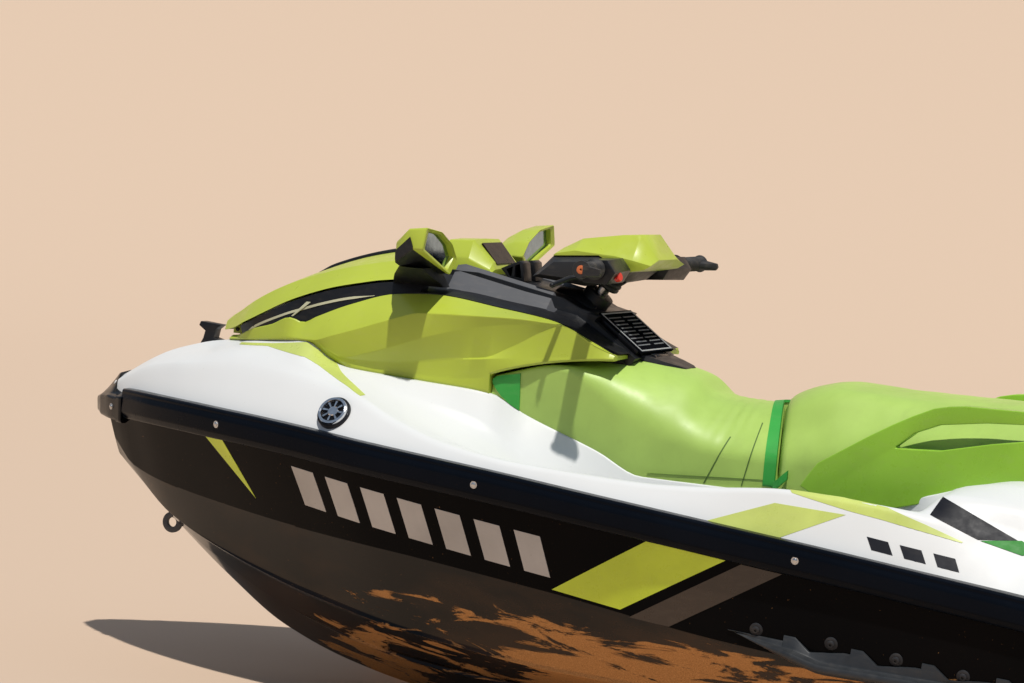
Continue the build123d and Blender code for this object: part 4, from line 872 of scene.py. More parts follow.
def make_filler_cap():
    """The chrome filler cap with a sunk dark middle and ribs across it."""
    center = at(*FILLER_PLACE)
    line = Vector((0.09, math.sin(FILLER_TILT), math.cos(FILLER_TILT))).normalized()
    rim = turned_part([(0, -14), (36, -14), (36, 8), (35, 11.5), (32, 13), (29, 12), (28, 9.5), (27, 4),
                       (0, 4)], center, line, 48)
    build("filler_cap_rim", rim, "chrome", smooth=30, stands_for=("fuel_cap",))
    side = line.orthogonal().normalized()
    up = line.cross(side)
    parts = []
    for k in range(FILLER_RIBS):
        turn = 2 * math.pi * k / FILLER_RIBS
        out = side * math.cos(turn) + up * math.sin(turn)
        across = line.cross(out)
        ribs = ((12, 1.6), (26, 2.6), (26, -2.6), (12, -1.6))
        parts.append(loft([[center + (out * reach + across * width + line * height) * MM
                            for reach, width in ribs] for height in (4.2, 9.7)]))
    parts.append(turned_part([(0, 4), (13, 4), (13, 8), (11, 9.5), (0, 9.5)], center, line, 24))
    build("filler_cap_spokes", joined(parts), "chrome", smooth=30)
    build("filler_cap_well", turned_part([(0, 3.5), (26.8, 3.5), (26.8, 4.6), (0, 4.6)], center, line, 40),
          "gloss_black")
    build("filler_cap_seat", turned_part([(0, -14), (41, -14), (41, 2.4), (39, 4), (0, 4)], center, line, 48),
          "black", smooth=30)


FIN_START_S = 1883
FIN_END_S = 2636
FIN_WIDEST_S = 2040
FIN_START_OUT = 560
FIN_OUT = 604
FIN_TEETH = [2040, 2195, 2355, 2520]


def sponson_top(s):
    """The height of the fin's toothed upper edge."""
    base = 341 - (s - 1885) * 0.052
    for tooth in FIN_TEETH:
        if tooth - 26 <= s <= tooth:
            return base + 8
        if tooth < s <= tooth + 34:
            return base + 8 - (s - tooth) * 0.75
        if tooth + 34 < s <= tooth + 110:
            return base - 18 + (s - tooth - 34) * 0.16
    return base - 5


def make_sponsons():
    stops = spread(FIN_START_S, FIN_END_S, 18) + [t + d for t in FIN_TEETH for d in (-27, -26, 0, 1, 34)]
    for side, name in SIDES:
        rings = []
        for s in sorted(set(stops)):
            grow = min(1.0, (s - 1878) / 160, (2642 - s) / 60)
            top = sponson_top(s)
            low = max(262, 336 - 64 * min(1.0, (s - FIN_START_S) / 220)**0.85) - (s - 1993) * 0.02
            low = min(low, top - 6)
            y = hull_side(s, 330) - 4
            widening = min(1.0, (s - FIN_START_S) / (FIN_WIDEST_S - FIN_START_S))**0.8
            out = min(FIN_START_OUT + (FIN_OUT - FIN_START_OUT) * widening, y + 8 + 60 * grow)
            corners = [(y - 12, low, 2), (out - 16, low, 4), (out, low + 10 * grow, 4),
                       (out - 2, low + 22 * grow, 4), (out - 22 * grow, low + 26 * grow, 4), (y + 9, top, 3),
                       (y - 12, top, 2)]
            rings.append(section(s, rounded(corners, closed=True, steps=2), side))
        build(f"sponson_fin_{name}", loft(rings), "fin", smooth=30,
              stands_for=(f"sponson_{name}",))
    parts = []
    for s, z in ((1949, 345), (2122, 338), (2270, 324), (2420, 309), (2570, 298)):
        y = hull_side(s, z)
        parts.append(turned_part([(0, -4), (15, -4), (15, 1.5), (12, 3), (9, 3), (8.6, 6), (6, 7.5), (3, 7.5),
                                  (2.6, 4), (0, 4)], at(s, y, z), (0, 1, -0.3), 24))
    build("sponson_bolts", pair(joined(parts)), "soft_black", smooth=30)


# Hood, bands and side panels

# Hood lines: station s, half breadth y, height z.
HOOD_EDGE = [(352, 60, 812), (400, 110, 824), (457, 160, 848), (508, 174, 874), (578, 190, 909),
             (640, 200, 934), (706, 208, 956), (770, 213, 972), (835, 216, 986), (905, 216, 995)]
HOOD_SHOULDER = [(352, 50, 834), (400, 82, 862), (457, 118, 896), (508, 134, 924), (578, 148, 956),
                 (706, 162, 1000), (835, 168, 1030), (905, 168, 1042)]
HOOD_CROWN = [(352, 18, 846), (400, 28, 876), (457, 36, 908), (508, 44, 938), (578, 52, 972), (706, 60, 1022),
              (835, 64, 1054), (905, 64, 1068)]
HOOD_START_S = 352
HOOD_END_S = 905
HOOD_THICKNESS = 9


def hood_half(s, shrink=0.0):
    edge, shoulder, crown = along(HOOD_EDGE, s), along(HOOD_SHOULDER, s), along(HOOD_CROWN, s)
    return [(edge[0] - shrink, edge[1], 0), (shoulder[0] - shrink * 0.7, shoulder[1] - shrink, 3),
            (crown[0], crown[1] - shrink, 34), (0, crown[1] + 5 - shrink, 0)]


def make_hood():
    rings = []
    for s in spread(HOOD_START_S, HOOD_END_S, 16):
        outer = rounded(hood_half(s), steps=5)
        inner = rounded(hood_half(s, HOOD_THICKNESS), steps=5)
        half = inner[:0:-1] + [(outer[0][0] - HOOD_THICKNESS, outer[0][1])] + outer
        rings.append(whole_ring(s, half))
    shell = loft(rings)
    ends = []
    for start in (HOOD_START_S + 1, HOOD_END_S - 9):
        stops = (start, start + 8)
        ends.append(loft([full_ring(s, rounded(hood_half(s, 1.0), steps=5)[:-1]) for s in stops]))
    lugs = [box_part(365, 387, y, y + 18, 805, 850) for y in (20.3, -38.3)]
    build("hood_shell", joined([shell] + ends + lugs), "lime", body="hood_lid", smooth=26,
          stands_for=("hood",))
    spine = []
    for s in spread(560, 890, 16):
        crown = along(HOOD_CROWN, s)[1] + 5
        grow = min(1.0, (s - 552) / 60)
        half = [(36 * grow, crown - 6, 0), (33 * grow, crown + 5 * grow, 4), (0, crown + 8 * grow, 0)]
        spine.append(whole_ring(s, rounded(half, steps=3)))
    build("hood_spine", loft(spine), "black", body="hood_lid", smooth=30)


# Side panel lines from the top edge down: station s, half breadth y, height z.
PANEL_TOP = [(352, 60, 800), (400, 92, 806), (442, 142, 816), (468, 158, 829), (540, 190, 850),
             (601, 214, 873), (632, 212, 865), (673, 222, 883), (761, 230, 921), (881, 236, 958),
             (990, 236, 967), (1144, 230, 952), (1271, 222, 936), (1387, 210, 890), (1432, 204, 870),
             (1450, 200, 866)]
PANEL_CREASE = [(352, 74, 792), (400, 112, 798), (470, 158, 808), (540, 196, 820), (600, 226, 828),
                (684, 260, 829), (740, 276, 846), (803, 287, 867), (915, 292, 908), (963, 293, 923),
                (1108, 290, 932), (1200, 272, 935), (1300, 241, 930), (1387, 220, 888), (1450, 206, 866)]
PANEL_FOLD = [(352, 74, 791), (470, 158, 806), (684, 258, 827), (776, 276, 800), (841, 282, 817),
              (921, 286, 845), (984, 287, 869), (1111, 282, 905), (1213, 264, 922), (1300, 240, 929),
              (1387, 220, 887), (1450, 206, 865)]
PANEL_FACET = [(352, 73, 790), (470, 157, 805), (684, 256, 826), (776, 275, 798), (900, 268, 802),
               (1040, 266, 826), (1130, 268, 836), (1185, 258, 864), (1213, 253, 880), (1256, 244, 908),
               (1300, 239, 927), (1387, 219, 885), (1450, 205, 864)]
PANEL_SILL = [(352, 73, 789), (470, 157, 804), (684, 255, 825), (776, 274, 796), (900, 267, 798),
              (1040, 265, 820), (1130, 274, 834), (1213, 262, 843), (1301, 246, 854), (1387, 224, 863),
              (1450, 216, 865)]
PANEL_LIP = [(352, 72, 788), (470, 156, 803), (684, 254, 824), (776, 272, 788), (900, 264, 778),
             (1060, 264, 780), (1130, 268, 790), (1148, 272, 803), (1302, 248, 847), (1387, 225, 859),
             (1450, 217, 864)]
PANEL_START_S = 386
PANEL_STEP_S = 1148
PANEL_END_S = 1430


def panel_foot(s):
    """The panel's lower edge: on the deck ahead of the seat, then over the seat's nose."""
    if s <= PANEL_STEP_S:
        y, z = along(RIDGE, s)
        return (min(y, along(PANEL_LIP, s)[0]) - 2, z - 2)
    y, z = along(PANEL_LIP, s)
    return (y - 34, z - 3)


def make_panels():
    for side, name in SIDES:
        rings = []
        for s in spread(PANEL_START_S, PANEL_STEP_S, 14) + spread(PANEL_STEP_S + 1, PANEL_END_S, 12):
            foot, lip, sill = panel_foot(s), along(PANEL_LIP, s), along(PANEL_SILL, s)
            facet, fold, crease = (along(line, s) for line in (PANEL_FACET, PANEL_FOLD, PANEL_CREASE))
            top = along(PANEL_TOP, s)
            inner = min(128, top[0] - 14)
            skirt = (foot[0] + 3, foot[1] + 6) if s <= PANEL_STEP_S else (lip[0] - 4, lip[1] - 5)
            corners = [(inner, foot[1] + 2, 0), (*foot, 2), (*skirt, 3), (*lip, 3), (*sill, 2),
                       (*facet, 2), (*fold, 2), (*crease, 2.5), (*top, 3), (inner, top[1] - 2, 0)]
            rings.append(section(s, rounded(corners, steps=2), side))
        nodes = (f"side_panel_{name}", "cowl_nose") if side > 0 else (f"side_panel_{name}",)
        build(f"cowl_panel_{name}", loft(rings), "lime", smooth=14, stands_for=nodes)


BAND_START_S = 440
BAND_END_S = 940
CREAM_LINE = [(462, 824), (483, 837), (585, 880), (675, 912), (752, 934), (823, 948)]


def band_point(s, z):
    """The y of a band's face at a height, between the panel's top and the hood's edge."""
    top, edge = along(PANEL_TOP, s), along(HOOD_EDGE, s)
    share = min(1.0, max(0.0, (z - top[1]) / max(1.0, edge[1] - top[1])))
    return top[0] - 2 + (edge[0] + 6 - top[0]) * share


def make_bands():
    rings, cream = [], []
    for s in spread(BAND_START_S, BAND_END_S, 14):
        top_y, top_z = along(PANEL_TOP, s)
        edge_y, edge_z = along(HOOD_EDGE, s)
        rings.append(section(s, ((top_y - 34, top_z - 10), (top_y - 2, top_z - 2),
                                 (edge_y + 4, edge_z - 6), (edge_y - 34, edge_z - 6))))
    build("hood_band_pair", pair(loft(rings)), "black", smooth=30,
          stands_for=("hood_bands",))
    for s in spread(CREAM_LINE[0][0], CREAM_LINE[-1][0], 14):
        z = along(CREAM_LINE, s)[0]
        size = max(0.6, 3 * min(1.0, (826 - s) / 60, (s - 455) / 20))
        low, high = band_point(s, z - size), band_point(s, z + size)
        cream.append(section(s, ((low - 2, z - size), (low + 1, z - size), (high + 1, z + size),
                                 (high - 2, z + size))))
    build("hood_band_lines", pair(loft(cream)), "cream")
    wedge = [(601, 876), (606, 876), (648, 914), (636, 914)]
    outer = [at(s, band_point(s, z) + 1, z) for s, z in wedge]
    inner = [at(s, band_point(s, z) - 2, z) for s, z in wedge]
    build("hood_band_wedges", pair(loft([inner, outer])), "cream")


# Mirrors

# The port mirror's rim in (y, z), then its seam and the front of its shell in (s, y, z).
MIRROR_RIM = [(388, 1128), (297, 1117), (231, 1087), (197, 1051), (233, 1015), (405, 1077)]
MIRROR_SEAM = [(967, 386, 1122), (965, 298, 1112), (972, 238, 1084), (984, 206, 1051), (1003, 236, 1018),
               (986, 401, 1076)]
MIRROR_SHELL = [(922, 368, 1088), (918, 306, 1090), (916, 256, 1066), (916, 230, 1036), (920, 246, 1004),
                (924, 372, 1040)]


def bent_ring(corners, shrink=1.0):
    """A closed ring through corners (s, y, z) that need not share a plane, rounded in Y and Z."""
    middle = (sum(y for s, y, z in corners) / len(corners), sum(z for s, y, z in corners) / len(corners))
    flat = [(middle[0] + (y - middle[0]) * shrink, middle[1] + (z - middle[1]) * shrink, 6)
            for s, y, z in corners]
    return [at(corners[k // 4][0], y, z) for k, (y, z) in enumerate(rounded(flat, closed=True, steps=3))]


def rim_ring(s, shrink=1.0):
    return bent_ring([(s, y, z) for y, z in MIRROR_RIM], shrink)


def mirror_stops():
    """The mirror housing's rings from its nose to its rim."""
    return [bent_ring(MIRROR_SHELL, 0.75), bent_ring([(s + 8, y, z) for s, y, z in MIRROR_SHELL]),
            bent_ring(MIRROR_SEAM)]


def make_mirrors():
    cap = mirror_stops() + [rim_ring(1010), rim_ring(1012, 0.97), rim_ring(1009, 0.82), rim_ring(994, 0.77)]
    build("mirror_caps", pair(loft(cap)), "lime", body="hood_lid", smooth=30, stands_for=("mirrors",))
    skins = []
    for grow, ring in zip((1.5, 1.5, 1.2), mirror_stops()):
        middle = sum(ring, Vector()) / len(ring)
        span = ring[14:24] + [ring[23].lerp(ring[0], 0.62)]
        away = [Vector((0, p.y - middle.y, p.z - middle.z)).normalized() * MM for p in span]
        outer, inner = ([p + d * lift for p, d in zip(span, away)] for lift in (grow, -2))
        skins.append(outer + inner[::-1])
    nose = [p + Vector((1.5 * MM, 0, 0)) for p in skins[0]]
    foot = []
    for z, s0, s1, y0, y1 in ((984, 852, 992, 178, 226), (994, 860, 992, 190, 244),
                              (1008, 880, 990, 206, 286), (1030, 914, 985, 232, 340)):
        corners = [(s0, y0, 8), (s0 + 12, y1, 8), (s1, y1, 8), (s1, y0, 8)]
        foot.append([at(s, y, z) for s, y in rounded(corners, closed=True, steps=3)])
    build("mirror_shells", pair(joined([loft([nose] + skins), loft(foot)])), "black",
          body="hood_lid", smooth=30)
    glass = loft([rim_ring(994, 0.77), rim_ring(999, 0.77)])
    build("mirror_faces", pair(glass), "glass", body="hood_lid",
          stands_for=("mirror_glasses",))


# Console, binnacle and glovebox

def make_console():
    dressed("console", "black", 2.0, "console_shell")
    rings = []
    for s, top_y, top_z, low_y, low_z in ((978, 112, 1034, 168, 978), (998, 112, 1038, 168, 974),
                                          (1228, 112, 996, 168, 942), (1244, 108, 968, 166, 940),
                                          (1258, 104, 944, 162, 936)):
        rings.append(section(s, ((top_y - 8, top_z - 8), (low_y - 8, low_z - 8), (low_y, low_z),
                                 (top_y, top_z))))
    build("console_cheeks", pair(loft(rings)), "grey", smooth=30)
    rings = []
    for s in spread(905, 1424, 14):
        top = along(PANEL_TOP, s)
        low_y = min(168, top[0] - 16)
        low_z = top[1] + (10 if s < 1240 else 10 * max(0.0, (1440 - s) / 200))
        rings.append(section(s, ((100, top[1] - 30), (top[0] - 3, top[1] - 6), (top[0] - 3, top[1] + 2),
                                 (low_y, low_z), (100, low_z + (14 if s < 1240 else 0)))))
    build("console_shoulders", pair(loft(rings)), "black", smooth=30)


# The bar pedestal's sections: station, half breadth, height of the edge and of the crown.
PEDESTAL = [(1188, 46, 975, 992), (1198, 54, 984, 1003), (1262, 54, 984, 1002), (1290, 52, 974, 988),
            (1304, 46, 960, 974)]
# The vent frame's outline and its two openings, in (s, z).
VENT_OUTER = [(1066, 1034), (1112, 1056), (1120, 1051), (1128, 1008), (1090, 1010)]
VENT_INNER = [(1080, 1033), (1096, 1041), (1094, 1017), (1088, 1017)]
VENT_REAR = [(1102, 1044), (1113, 1048), (1121, 1015), (1101, 1016)]


def make_pedestal():
    """The boot under the bars and the vent frame ahead of them."""
    rings = []
    for s, half_y, edge_z, crown_z in PEDESTAL:
        half = [(half_y + 4, 925, 0), (half_y, edge_z - 6, 6), (half_y * 0.86, edge_z + 2, 5),
                (half_y * 0.5, (edge_z + crown_z) / 2 + 3, 16), (0, crown_z, 0)]
        rings.append(whole_ring(s, rounded(half, steps=3)))
    build("bar_pedestal", loft(rings), "black", smooth=30)
    for side, name in SIDES:
        vent = build(f"vent_frame_{name}", plate_part(VENT_OUTER, 12 * side, 60 * side),
                     "black", smooth=30)
        carved(vent, [plate_part(hole, 22 * side, 70 * side) for hole in (VENT_INNER, VENT_REAR)])
        shaded(eased(vent, 2, 2, 40), 30)


def make_seat_tongue():
    """The black tail of the console that lies on the seat's nose below the glovebox."""
    rings = []
    for s, half_y, lift in ((1446, 84, 10), (1462, 80, 8), (1500, 66, 6), (1534, 46, 4), (1542, 36, 2)):
        z = along(SEAT_TOP, s)[1]
        rings.append(section(s, ((half_y, z - 3), (half_y - 4, z + lift), (0, z + lift + 1),
                                 (4 - half_y, z + lift), (-half_y, z - 3))))
    build("console_tail", loft(rings), "black", smooth=30)


# A point on the glovebox lid's face, and how far the face slopes down aft.
LID_PLACE = (1350, 947)
LID_SLOPE = math.radians(35)


def make_glovebox():
    dressed("glovebox_lid", "gloss_black", 2.0, "glovebox_door")
    down = Vector((-math.cos(LID_SLOPE), 0, -math.sin(LID_SLOPE)))
    out = Vector((-math.sin(LID_SLOPE), 0, math.cos(LID_SLOPE)))

    def plate(y0, y1, down0, down1, low, high):
        """A thin plate on the lid's face, from one height above it to another."""
        corners = ((y0, down0), (y1, down0), (y1, down1), (y0, down1))
        ring = [at(LID_PLACE[0], y, LID_PLACE[1]) + down * d * MM for y, d in corners]
        return loft([[p + out * lift * MM for p in ring] for lift in (low, high)])

    build("glovebox_face", plate(-102, 102, -14, 128, -2, 4), "label", body="glovebox_cover")
    frames = ((-99, -93, -10, 124), (93, 99, -10, 124), (-93, 93, -10, -6), (-93, 93, 120, 124))
    border = joined([plate(*sides, 1, 4.8) for sides in frames])
    build("glovebox_border", border, "light_grey", body="glovebox_cover")
    rules = []
    for row in range(9):
        top = 6 + 12 * row
        for y0, y1 in ((-84, -8 - 7 * (row % 3)), (6, 84 - 12 * (row % 2))):
            rules.append(plate(y0, y1, top, top + 3.5, 3.6, 4.5))
    build("glovebox_rules", joined(rules), "label_print", body="glovebox_cover")


def make_binnacle():
    """The lime instrument hood and its screen."""
    base = 1016
    rings = []
    for s, low_y, top_y, top_z in ((912, 84, 70, 1060), (936, 100, 76, 1090), (998, 104, 78, 1095),
                                   (1050, 96, 70, 1046), (1058, 92, 74, 1030)):
        half = [(low_y, base, 0), (top_y + 22, base + (top_z - base) * 0.45, 4), (top_y, top_z, 5),
                (0, top_z + 2, 0)]
        rings.append(whole_ring(s, rounded(half, steps=3)))
    build("binnacle_hood", loft(rings), "lime", smooth=16, stands_for=("gauge_binnacle",))
    screen = loft([[at(s + d, y, z + e) for s, y, z in ((1052, -58, 1040), (1052, 58, 1040), (1010, 58, 1086),
                                                        (1010, -58, 1086))] for d, e in ((0, 0), (3, 3))])
    build("binnacle_screen", screen, "gloss_black")


# Handlebar

COLUMN_AXIS = (-0.573576, 0, 0.819152)
STEERING_BOOT = (1330, 0, 1040)


def make_bars():
    dressed("handlebar", "steel", 0, "handlebar_tube")
    dressed("bar_body", "soft_black", 7.0, "bar_pad", segments=3)
    dressed("bar_cover", "lime", 5.0, "bar_lid", segments=3)
    dressed("switch_pods", "black", 4.0, "switch_pod_pair", segments=3)
    dressed("brake_lever", "black", 0, "brake_lever_blade")
    dressed("throttle_lever", "black", 0, "throttle_lever_blade")
    collar = turned_part([(10, -31), (27, -31), (31, -27), (31, -22), (28, -19), (31, -16), (31, -12),
                          (28, -9), (33, 6), (10, 6)], at(*STEERING_BOOT), COLUMN_AXIS, 36)
    build("steering_boot", collar, "soft_black", body="steering_bars", smooth=30)


BAR_BEND = (1362, 120, 1064)
BAR_END = (1400, 389, 1070)
GRIP_START_Y = 262
GRIP_END_Y = 395
GRIP_RIB_PITCH = 6
STOP_BUTTON = (1424, 214, 1052)


def bar_point(y):
    """The middle of the bar, outboard of its bend."""
    s, _, z = between(BAR_BEND, BAR_END, (y - BAR_BEND[1]) / (BAR_END[1] - BAR_BEND[1]))
    return s, y, z


def make_grips():
    a, b = at(*bar_point(GRIP_START_Y)), at(*bar_point(GRIP_END_Y))
    line = b - a
    length = line.length / MM
    profile = [(11.2, 0), (25, 0), (25, 4), (19, 7), (17, 10)]
    rib = 12
    while rib < length - 18:
        profile += [(16.6, rib), (18, rib + 1.2), (18, rib + 3.4), (16.6, rib + 4.6)]
        rib += GRIP_RIB_PITCH
    profile += [(17, length - 12), (20, length - 8), (21, length - 4), (20, length - 0.5), (12, length)]
    sleeve = turned_part(profile, a, line, 32)
    build("grip_sleeves", pair(sleeve), "grip", body="steering_bars", smooth=30,
          stands_for=("grips",))
    profile = [(0, -1), (10, -1), (10, 0.5), (7, 1.5), (3, 1.5), (2.5, 0), (0, 0)]
    ends = turned_part([(radius, length + out) for radius, out in profile], a, line, 24)
    build("grip_ends", pair(ends), "orange", body="steering_bars", smooth=30)
    rest = []
    for y, reach, height in ((352, 10, 5), (368, 34, 10), (384, 46, 12), (396, 44, 10)):
        s, _, z = bar_point(y)
        rest.append([at(s + d, y, z + e) for d, e in ((4, height), (reach, height * 0.4), (reach + 3, -4),
                                                      (reach, -height), (4, -height - 4))])
    build("palm_rests", pair(loft(rest)), "grip", body="steering_bars", smooth=40)
    profile = [(0, -6), (11, -6), (11, 3), (9, 5), (0, 5)]
    button = turned_part(profile, at(*STOP_BUTTON), (-0.9, 0.2, 0.2), 24)
    build("stop_button", button, "red", body="steering_bars", smooth=30)


# Seats

# Folds in the driver's seat: station, reach, width and height of each.
WRINKLES = [(1690, 60, 9, 2.6), (1716, 90, 8, 3.0), (1744, 70, 7, 2.8), (1772, 50, 6, 2.2)]

# Seat lines: station s, half breadth y, height z. The rounding of the side is a radius by station.
SEAT_TOP = [(1150, 168, 806), (1307, 180, 848), (1377, 150, 856), (1436, 128, 861), (1510, 118, 850),
            (1580, 112, 834), (1643, 106, 797), (1722, 100, 787), (1795, 102, 789), (1846, 108, 795)]
SEAT_SIDE = [(1150, 256, 797), (1307, 238, 838), (1390, 222, 824), (1450, 219, 792), (1510, 217, 764),
             (1580, 214, 736), (1722, 208, 700), (1846, 212, 700)]
SEAT_ROUND = [(1150, 12), (1320, 18), (1430, 58), (1600, 56), (2900, 56)]
PASSENGER_TOP = [(1849, 112, 796), (1878, 118, 820), (1925, 128, 844), (1971, 136, 856), (2098, 142, 852),
                 (2359, 146, 856), (2700, 146, 866), (2840, 136, 852), (2860, 118, 838)]
PASSENGER_SIDE = [(1849, 214, 704), (1971, 228, 716), (2111, 240, 740), (2359, 246, 780), (2700, 246, 792),
                  (2840, 232, 788), (2860, 220, 782)]
SEAT_SPLIT_S = 1848
SEAT_EDGE = 16
STRAP_S = (1814, 1842)


def leaned(s, y):
    """The station of a seat point, moved ahead where the split between the seats leans forward."""
    fade = max(0.0, 1 - abs(s - SEAT_SPLIT_S) / 280)
    return s - 66 * fade * max(0.0, 1 - abs(y) / 212)


def seat_half(s, side_line, top_line):
    ridge_y, ridge_z = along(RIDGE, s)
    side, top = along(side_line, s), along(top_line, s)
    foot_y = min(ridge_y, side[0]) - 3
    corners = [(foot_y, ridge_z - 1, 0), (foot_y + 1, ridge_z + 3, 3), (foot_y + 3, ridge_z + 22, 8),
               (*side, along(SEAT_ROUND, s)[0]), (top[0], top[1] - 14, 40), (top[0] * 0.5, top[1], 50),
               (0, top[1] + 1, 0)]
    return rounded(corners, steps=8)


def seat_dent(s, height):
    """How far a fold in the cover lifts the surface near the saddle."""
    lift = 0.0
    for s0, reach, width, size in WRINKLES:
        offset = (s - s0) - (height - 790) * 0.34
        fade = math.exp(-((height - 764) / (0.6 * reach))**2)
        lift += size * fade * math.exp(-(offset / width)**2)
    return lift


def make_seat(name, node, side_line, top_line, folds):
    """A padded cushion between the ends of its lines, with folds in its cover or without."""
    rings = []
    start, end = side_line[0][0], side_line[-1][0]
    for s in spread(start, end, 8):
        half = seat_half(s, side_line, top_line)
        inset = 0.0
        for limit, sign in ((start, 1), (end, -1)):
            gap = (s - limit) * sign
            if gap < SEAT_EDGE:
                inset = max(inset, SEAT_EDGE - math.sqrt(max(0.0, SEAT_EDGE**2 - (SEAT_EDGE - gap)**2)))
        ring = []
        for y, z in half:
            lift = seat_dent(s, z) if folds else 0.0
            top = along(top_line, s)[1]
            low = along(RIDGE, s)[1]
            share = min(1.0, max(0.0, (z - low) / 40))
            out = lift * share + 0.8 * noise.noise(Vector((s * 0.02, y * 0.02, z * 0.02))) * share
            pull = inset * share
            length = math.hypot(y, z - low - (top - low) * 0.3) or 1.0
            ring.append((y + (out - pull) * y / length, z + (out - pull) * max(0.0, z - low - 20) / length))
        rings.append([at(leaned(s, y), y, z) for y, z in ring]
                     + [at(leaned(s, y), -y, z) for y, z in reversed(ring[:-1])])
    obj = build(name, loft(rings), "vinyl", smooth=50, stands_for=(node,))
    return obj


def seat_side(s, z):
    """The y of the driver seat's side at a height."""
    half = seat_half(s, SEAT_SIDE, SEAT_TOP)
    for (y0, z0), (y1, z1) in zip(half, half[1:]):
        if z0 <= z <= z1 and z1 > z0:
            return y0 + (y1 - y0) * (z - z0) / (z1 - z0)
    return half[0][0]


def seat_ribbon(start, end, width, lift=1.4, steps=14):
    """A narrow strip on the driver seat's side, between two points in (s, z)."""
    rings = []
    for i in range(steps + 1):
        s, z = between(start, end, i / steps)
        ring = []
        for side, depth in ((-1, -2.5), (-1, lift), (1, lift), (1, -2.5)):
            place = s + side * width / 2
            y = seat_side(place, z) + depth
            ring.append(at(leaned(place, y), y, z))
        rings.append(ring)
    return loft(rings)


def make_seat_trim():
    """The green strap, its tail, the corner caps, the seams, and a dark strip of painted shade along the
    seat's foot.
    """
    edges = []
    for s in STRAP_S:
        half = seat_half(s, SEAT_SIDE, SEAT_TOP)
        edges.append([(leaned(s, y), y, z) for y, z in half if z > along(RIDGE, s)[1] + 8])
    rings = []
    for a, b in zip(*edges):
        rings.append([at(s, y + d, z + d) for (s, y, z), d in ((a, 3), (b, 3), (b, -3), (a, -3))])
    build("seat_strap", pair(loft(rings)), "strap_green", smooth=50)
    tail = []
    for t, z, y in ((0.0, 622, 222), (0.35, 630, 228), (0.7, 642, 230), (1.0, 652, 228)):
        s = 1842 + 34 * t
        tail.append(section(s, ((y - 4, z - 13), (y + 4, z - 12), (y + 5, z + 8), (y - 3, z + 9))))
    build("seat_strap_tail", pair(loft(tail)), "strap_green", smooth=50)
    cap = []
    for s, z0, z1 in ((1152, 780, 789), (1160, 768, 796), (1175, 751, 800), (1196, 733, 804),
                      (1216, 722, 808)):
        heights = [z0 + (z1 - z0) * k / 8 for k in range(9)]
        ring = [(seat_side(max(1166, s), z), z) for z in heights]
        cap.append(section(s, [(y + 3.5, z) for y, z in ring] + [(y - 6, z) for y, z in ring[::-1]]))
    build("seat_corner_caps", pair(loft(cap)), "strap_green", smooth=50)
    seams = [seat_ribbon((1672, 605), (1722, 716), 3), seat_ribbon((1763, 610), (1794, 752), 3)]
    build("seat_seams", pair(joined(seams)), "dark_vinyl", smooth=50)
    # Painted shade: a thin dark ledge along the driver seat's foot, where the cushion's underside is in
    # shade.
    build("seat_foot_painted_shade", pair(seat_ribbon((1540, 612), (1812, 630), 12, 1.8, 30)), "dark_vinyl",
          smooth=50)


# Grab rails

# The grab rail's outline and its hand slot, in (s, z).
GRAB_TOP = [(1925, 636), (1945, 668), (1962, 692), (2020, 730), (2077, 767), (2125, 796), (2169, 820),
            (2217, 843), (2250, 851), (2287, 856), (2420, 859), (2600, 864), (2780, 866), (2840, 850),
            (2862, 820)]
GRAB_LOW = [(1927, 634), (1960, 618), (2026, 612), (2119, 604), (2240, 640), (2438, 690), (2600, 690),
            (2862, 690)]
SLOT_TOP = [(2139, 750), (2179, 784), (2234, 808), (2340, 824), (2424, 830), (2640, 834), (2664, 820)]
SLOT_LOW = [(2139, 746), (2180, 748), (2240, 752), (2351, 779), (2440, 796), (2640, 796), (2664, 812)]


def make_grab_rails():
    """Two moulded rails with hand slots and eased edges."""
    outline, slot = GRAB_TOP + GRAB_LOW[::-1], SLOT_TOP + SLOT_LOW[::-1]
    for side, name in SIDES:
        rail = build(f"grab_rail_body_{name}", plate_part(outline, 252 * side, 286 * side),
                     "rail_green", smooth=40, stands_for=(f"grab_rail_{name}",))
        carved(rail, [plate_part(slot, 200 * side, 330 * side)])
        shaded(eased(rail, 14, 5, 50), 40)


# The stage

STAGE_FLAT_Y = -7
STAGE_LINE = [(60, 0)] + [(STAGE_FLAT_Y - 0.5 * k, 0.012 * k**2) for k in range(36)]


def make_stage():
    """A sand-coloured floor that curves up behind the craft."""
    points = [(x, y, z) for y, z in STAGE_LINE for x in (-60, 60)]
    faces = [(2 * i, 2 * i + 1, 2 * i + 3, 2 * i + 2) for i in range(len(STAGE_LINE) - 1)]
    mesh = bpy.data.meshes.new("floor")
    mesh.from_pydata(points, [], faces)
    mesh.shade_smooth()
    floor = placed("floor", mesh)
    mesh.materials.append(Look("floor_paint", (0.56, 0.42, 0.31), 0.85).material)


def make_camera():
    ahead, right, up = view_axes()
    data = bpy.data.cameras.new("camera")
    data.sensor_width = SENSOR
    data.lens = CAMERA_FOCAL * SENSOR / FRAME_WIDTH
    data.clip_end = 100
    camera = placed("camera", data)
    turn = Matrix((right, up, -ahead)).transposed().to_4x4()
    camera.matrix_world = Matrix.Translation(Vector(CAMERA_PLACE) * MM) @ turn
    bpy.context.scene.camera = camera


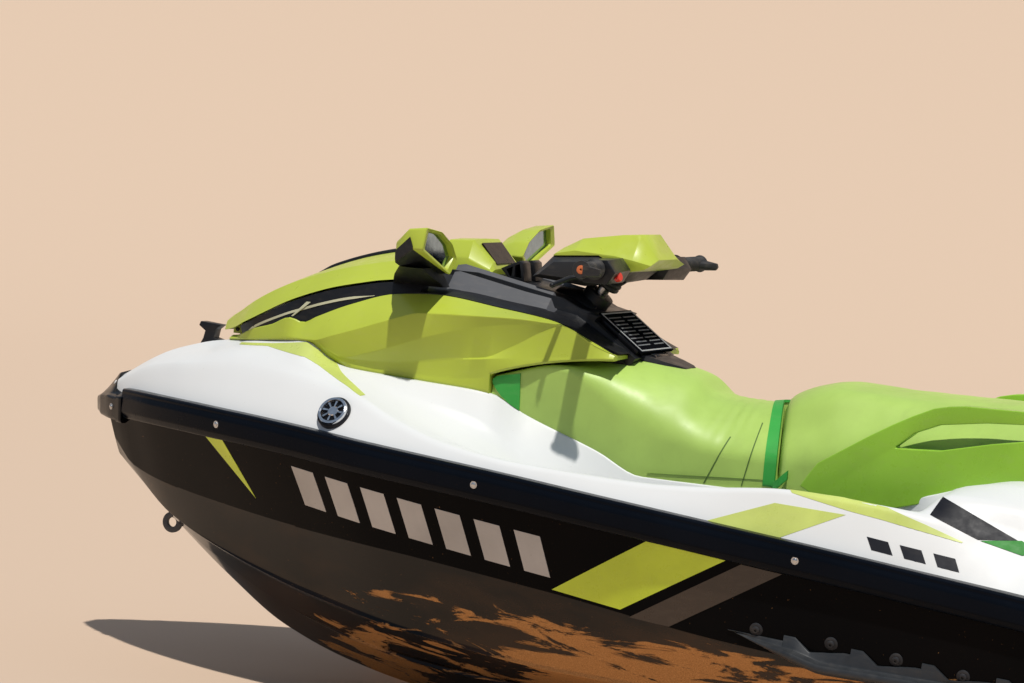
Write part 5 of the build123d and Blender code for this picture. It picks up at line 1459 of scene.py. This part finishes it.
SUN_DIRECTION = (-0.17, 0.34, 0.925)


def make_lights():
    data = bpy.data.lights.new("sun", "SUN")
    data.energy = 3.7
    data.angle = math.radians(1.2)
    data.color = (1.0, 0.965, 0.91)
    sun = placed("sun", data)
    sun.rotation_euler = Vector(SUN_DIRECTION).to_track_quat("Z", "Y").to_euler()
    world = bpy.data.worlds.new("sky")
    world.use_nodes = True
    sky = world.node_tree.nodes["Background"]
    sky.inputs["Color"].default_value = (0.62, 0.77, 1.0, 1)
    sky.inputs["Strength"].default_value = 0.34
    bpy.context.scene.world = world
    bpy.context.scene.view_settings.view_transform = "Standard"
    bpy.context.scene.view_settings.look = "None"


# Nodes whose own shape is shown: look and width of the eased edges.
# The bow eye is metal; its dark grey plastic look is painted shade of the dark recess it sits in.
PLAIN_NODES = [("bow_cleat", "black", 2.5), ("bow_eye", "grey", 1.0), ("stern_bumpers", "black", 5.0),
               ("storage_bin", "black", 1.5), ("engine_block", "alloy", 6.0),
               ("footwell_mats", "mat", 1.2), ("platform_mat", "mat", 2.0), ("intake_grate", "alloy", 1.5),
               ("ride_plate", "alloy", 1.5), ("pump_housing", "alloy", 0), ("impeller", "steel", 0),
               ("venturi", "alloy", 0), ("steering_nozzle", "alloy", 0), ("reverse_bucket", "black", 1.0),
               ("hood_hinge", "black", 1.5), ("rear_handle", "black", 6.0), ("stern_eyes", "steel", 1.0)]


def main():
    make_hull()
    make_hull_decals()
    make_deck_decals(make_deck())
    make_rails()
    make_rail_screws()
    make_bow_bumper()
    make_filler_cap()
    make_sponsons()
    make_hood()
    make_panels()
    make_bands()
    make_mirrors()
    make_console()
    make_pedestal()
    make_seat_tongue()
    make_glovebox()
    make_binnacle()
    make_bars()
    make_grips()
    make_seat("driver_cushion", "driver_seat", SEAT_SIDE, SEAT_TOP, True)
    make_seat("passenger_cushion", "passenger_seat", PASSENGER_SIDE, PASSENGER_TOP, False)
    make_seat_trim()
    make_grab_rails()
    for node, look, width in PLAIN_NODES:
        dressed(node, look, width)
    make_stage()
    make_camera()
    make_lights()


main()
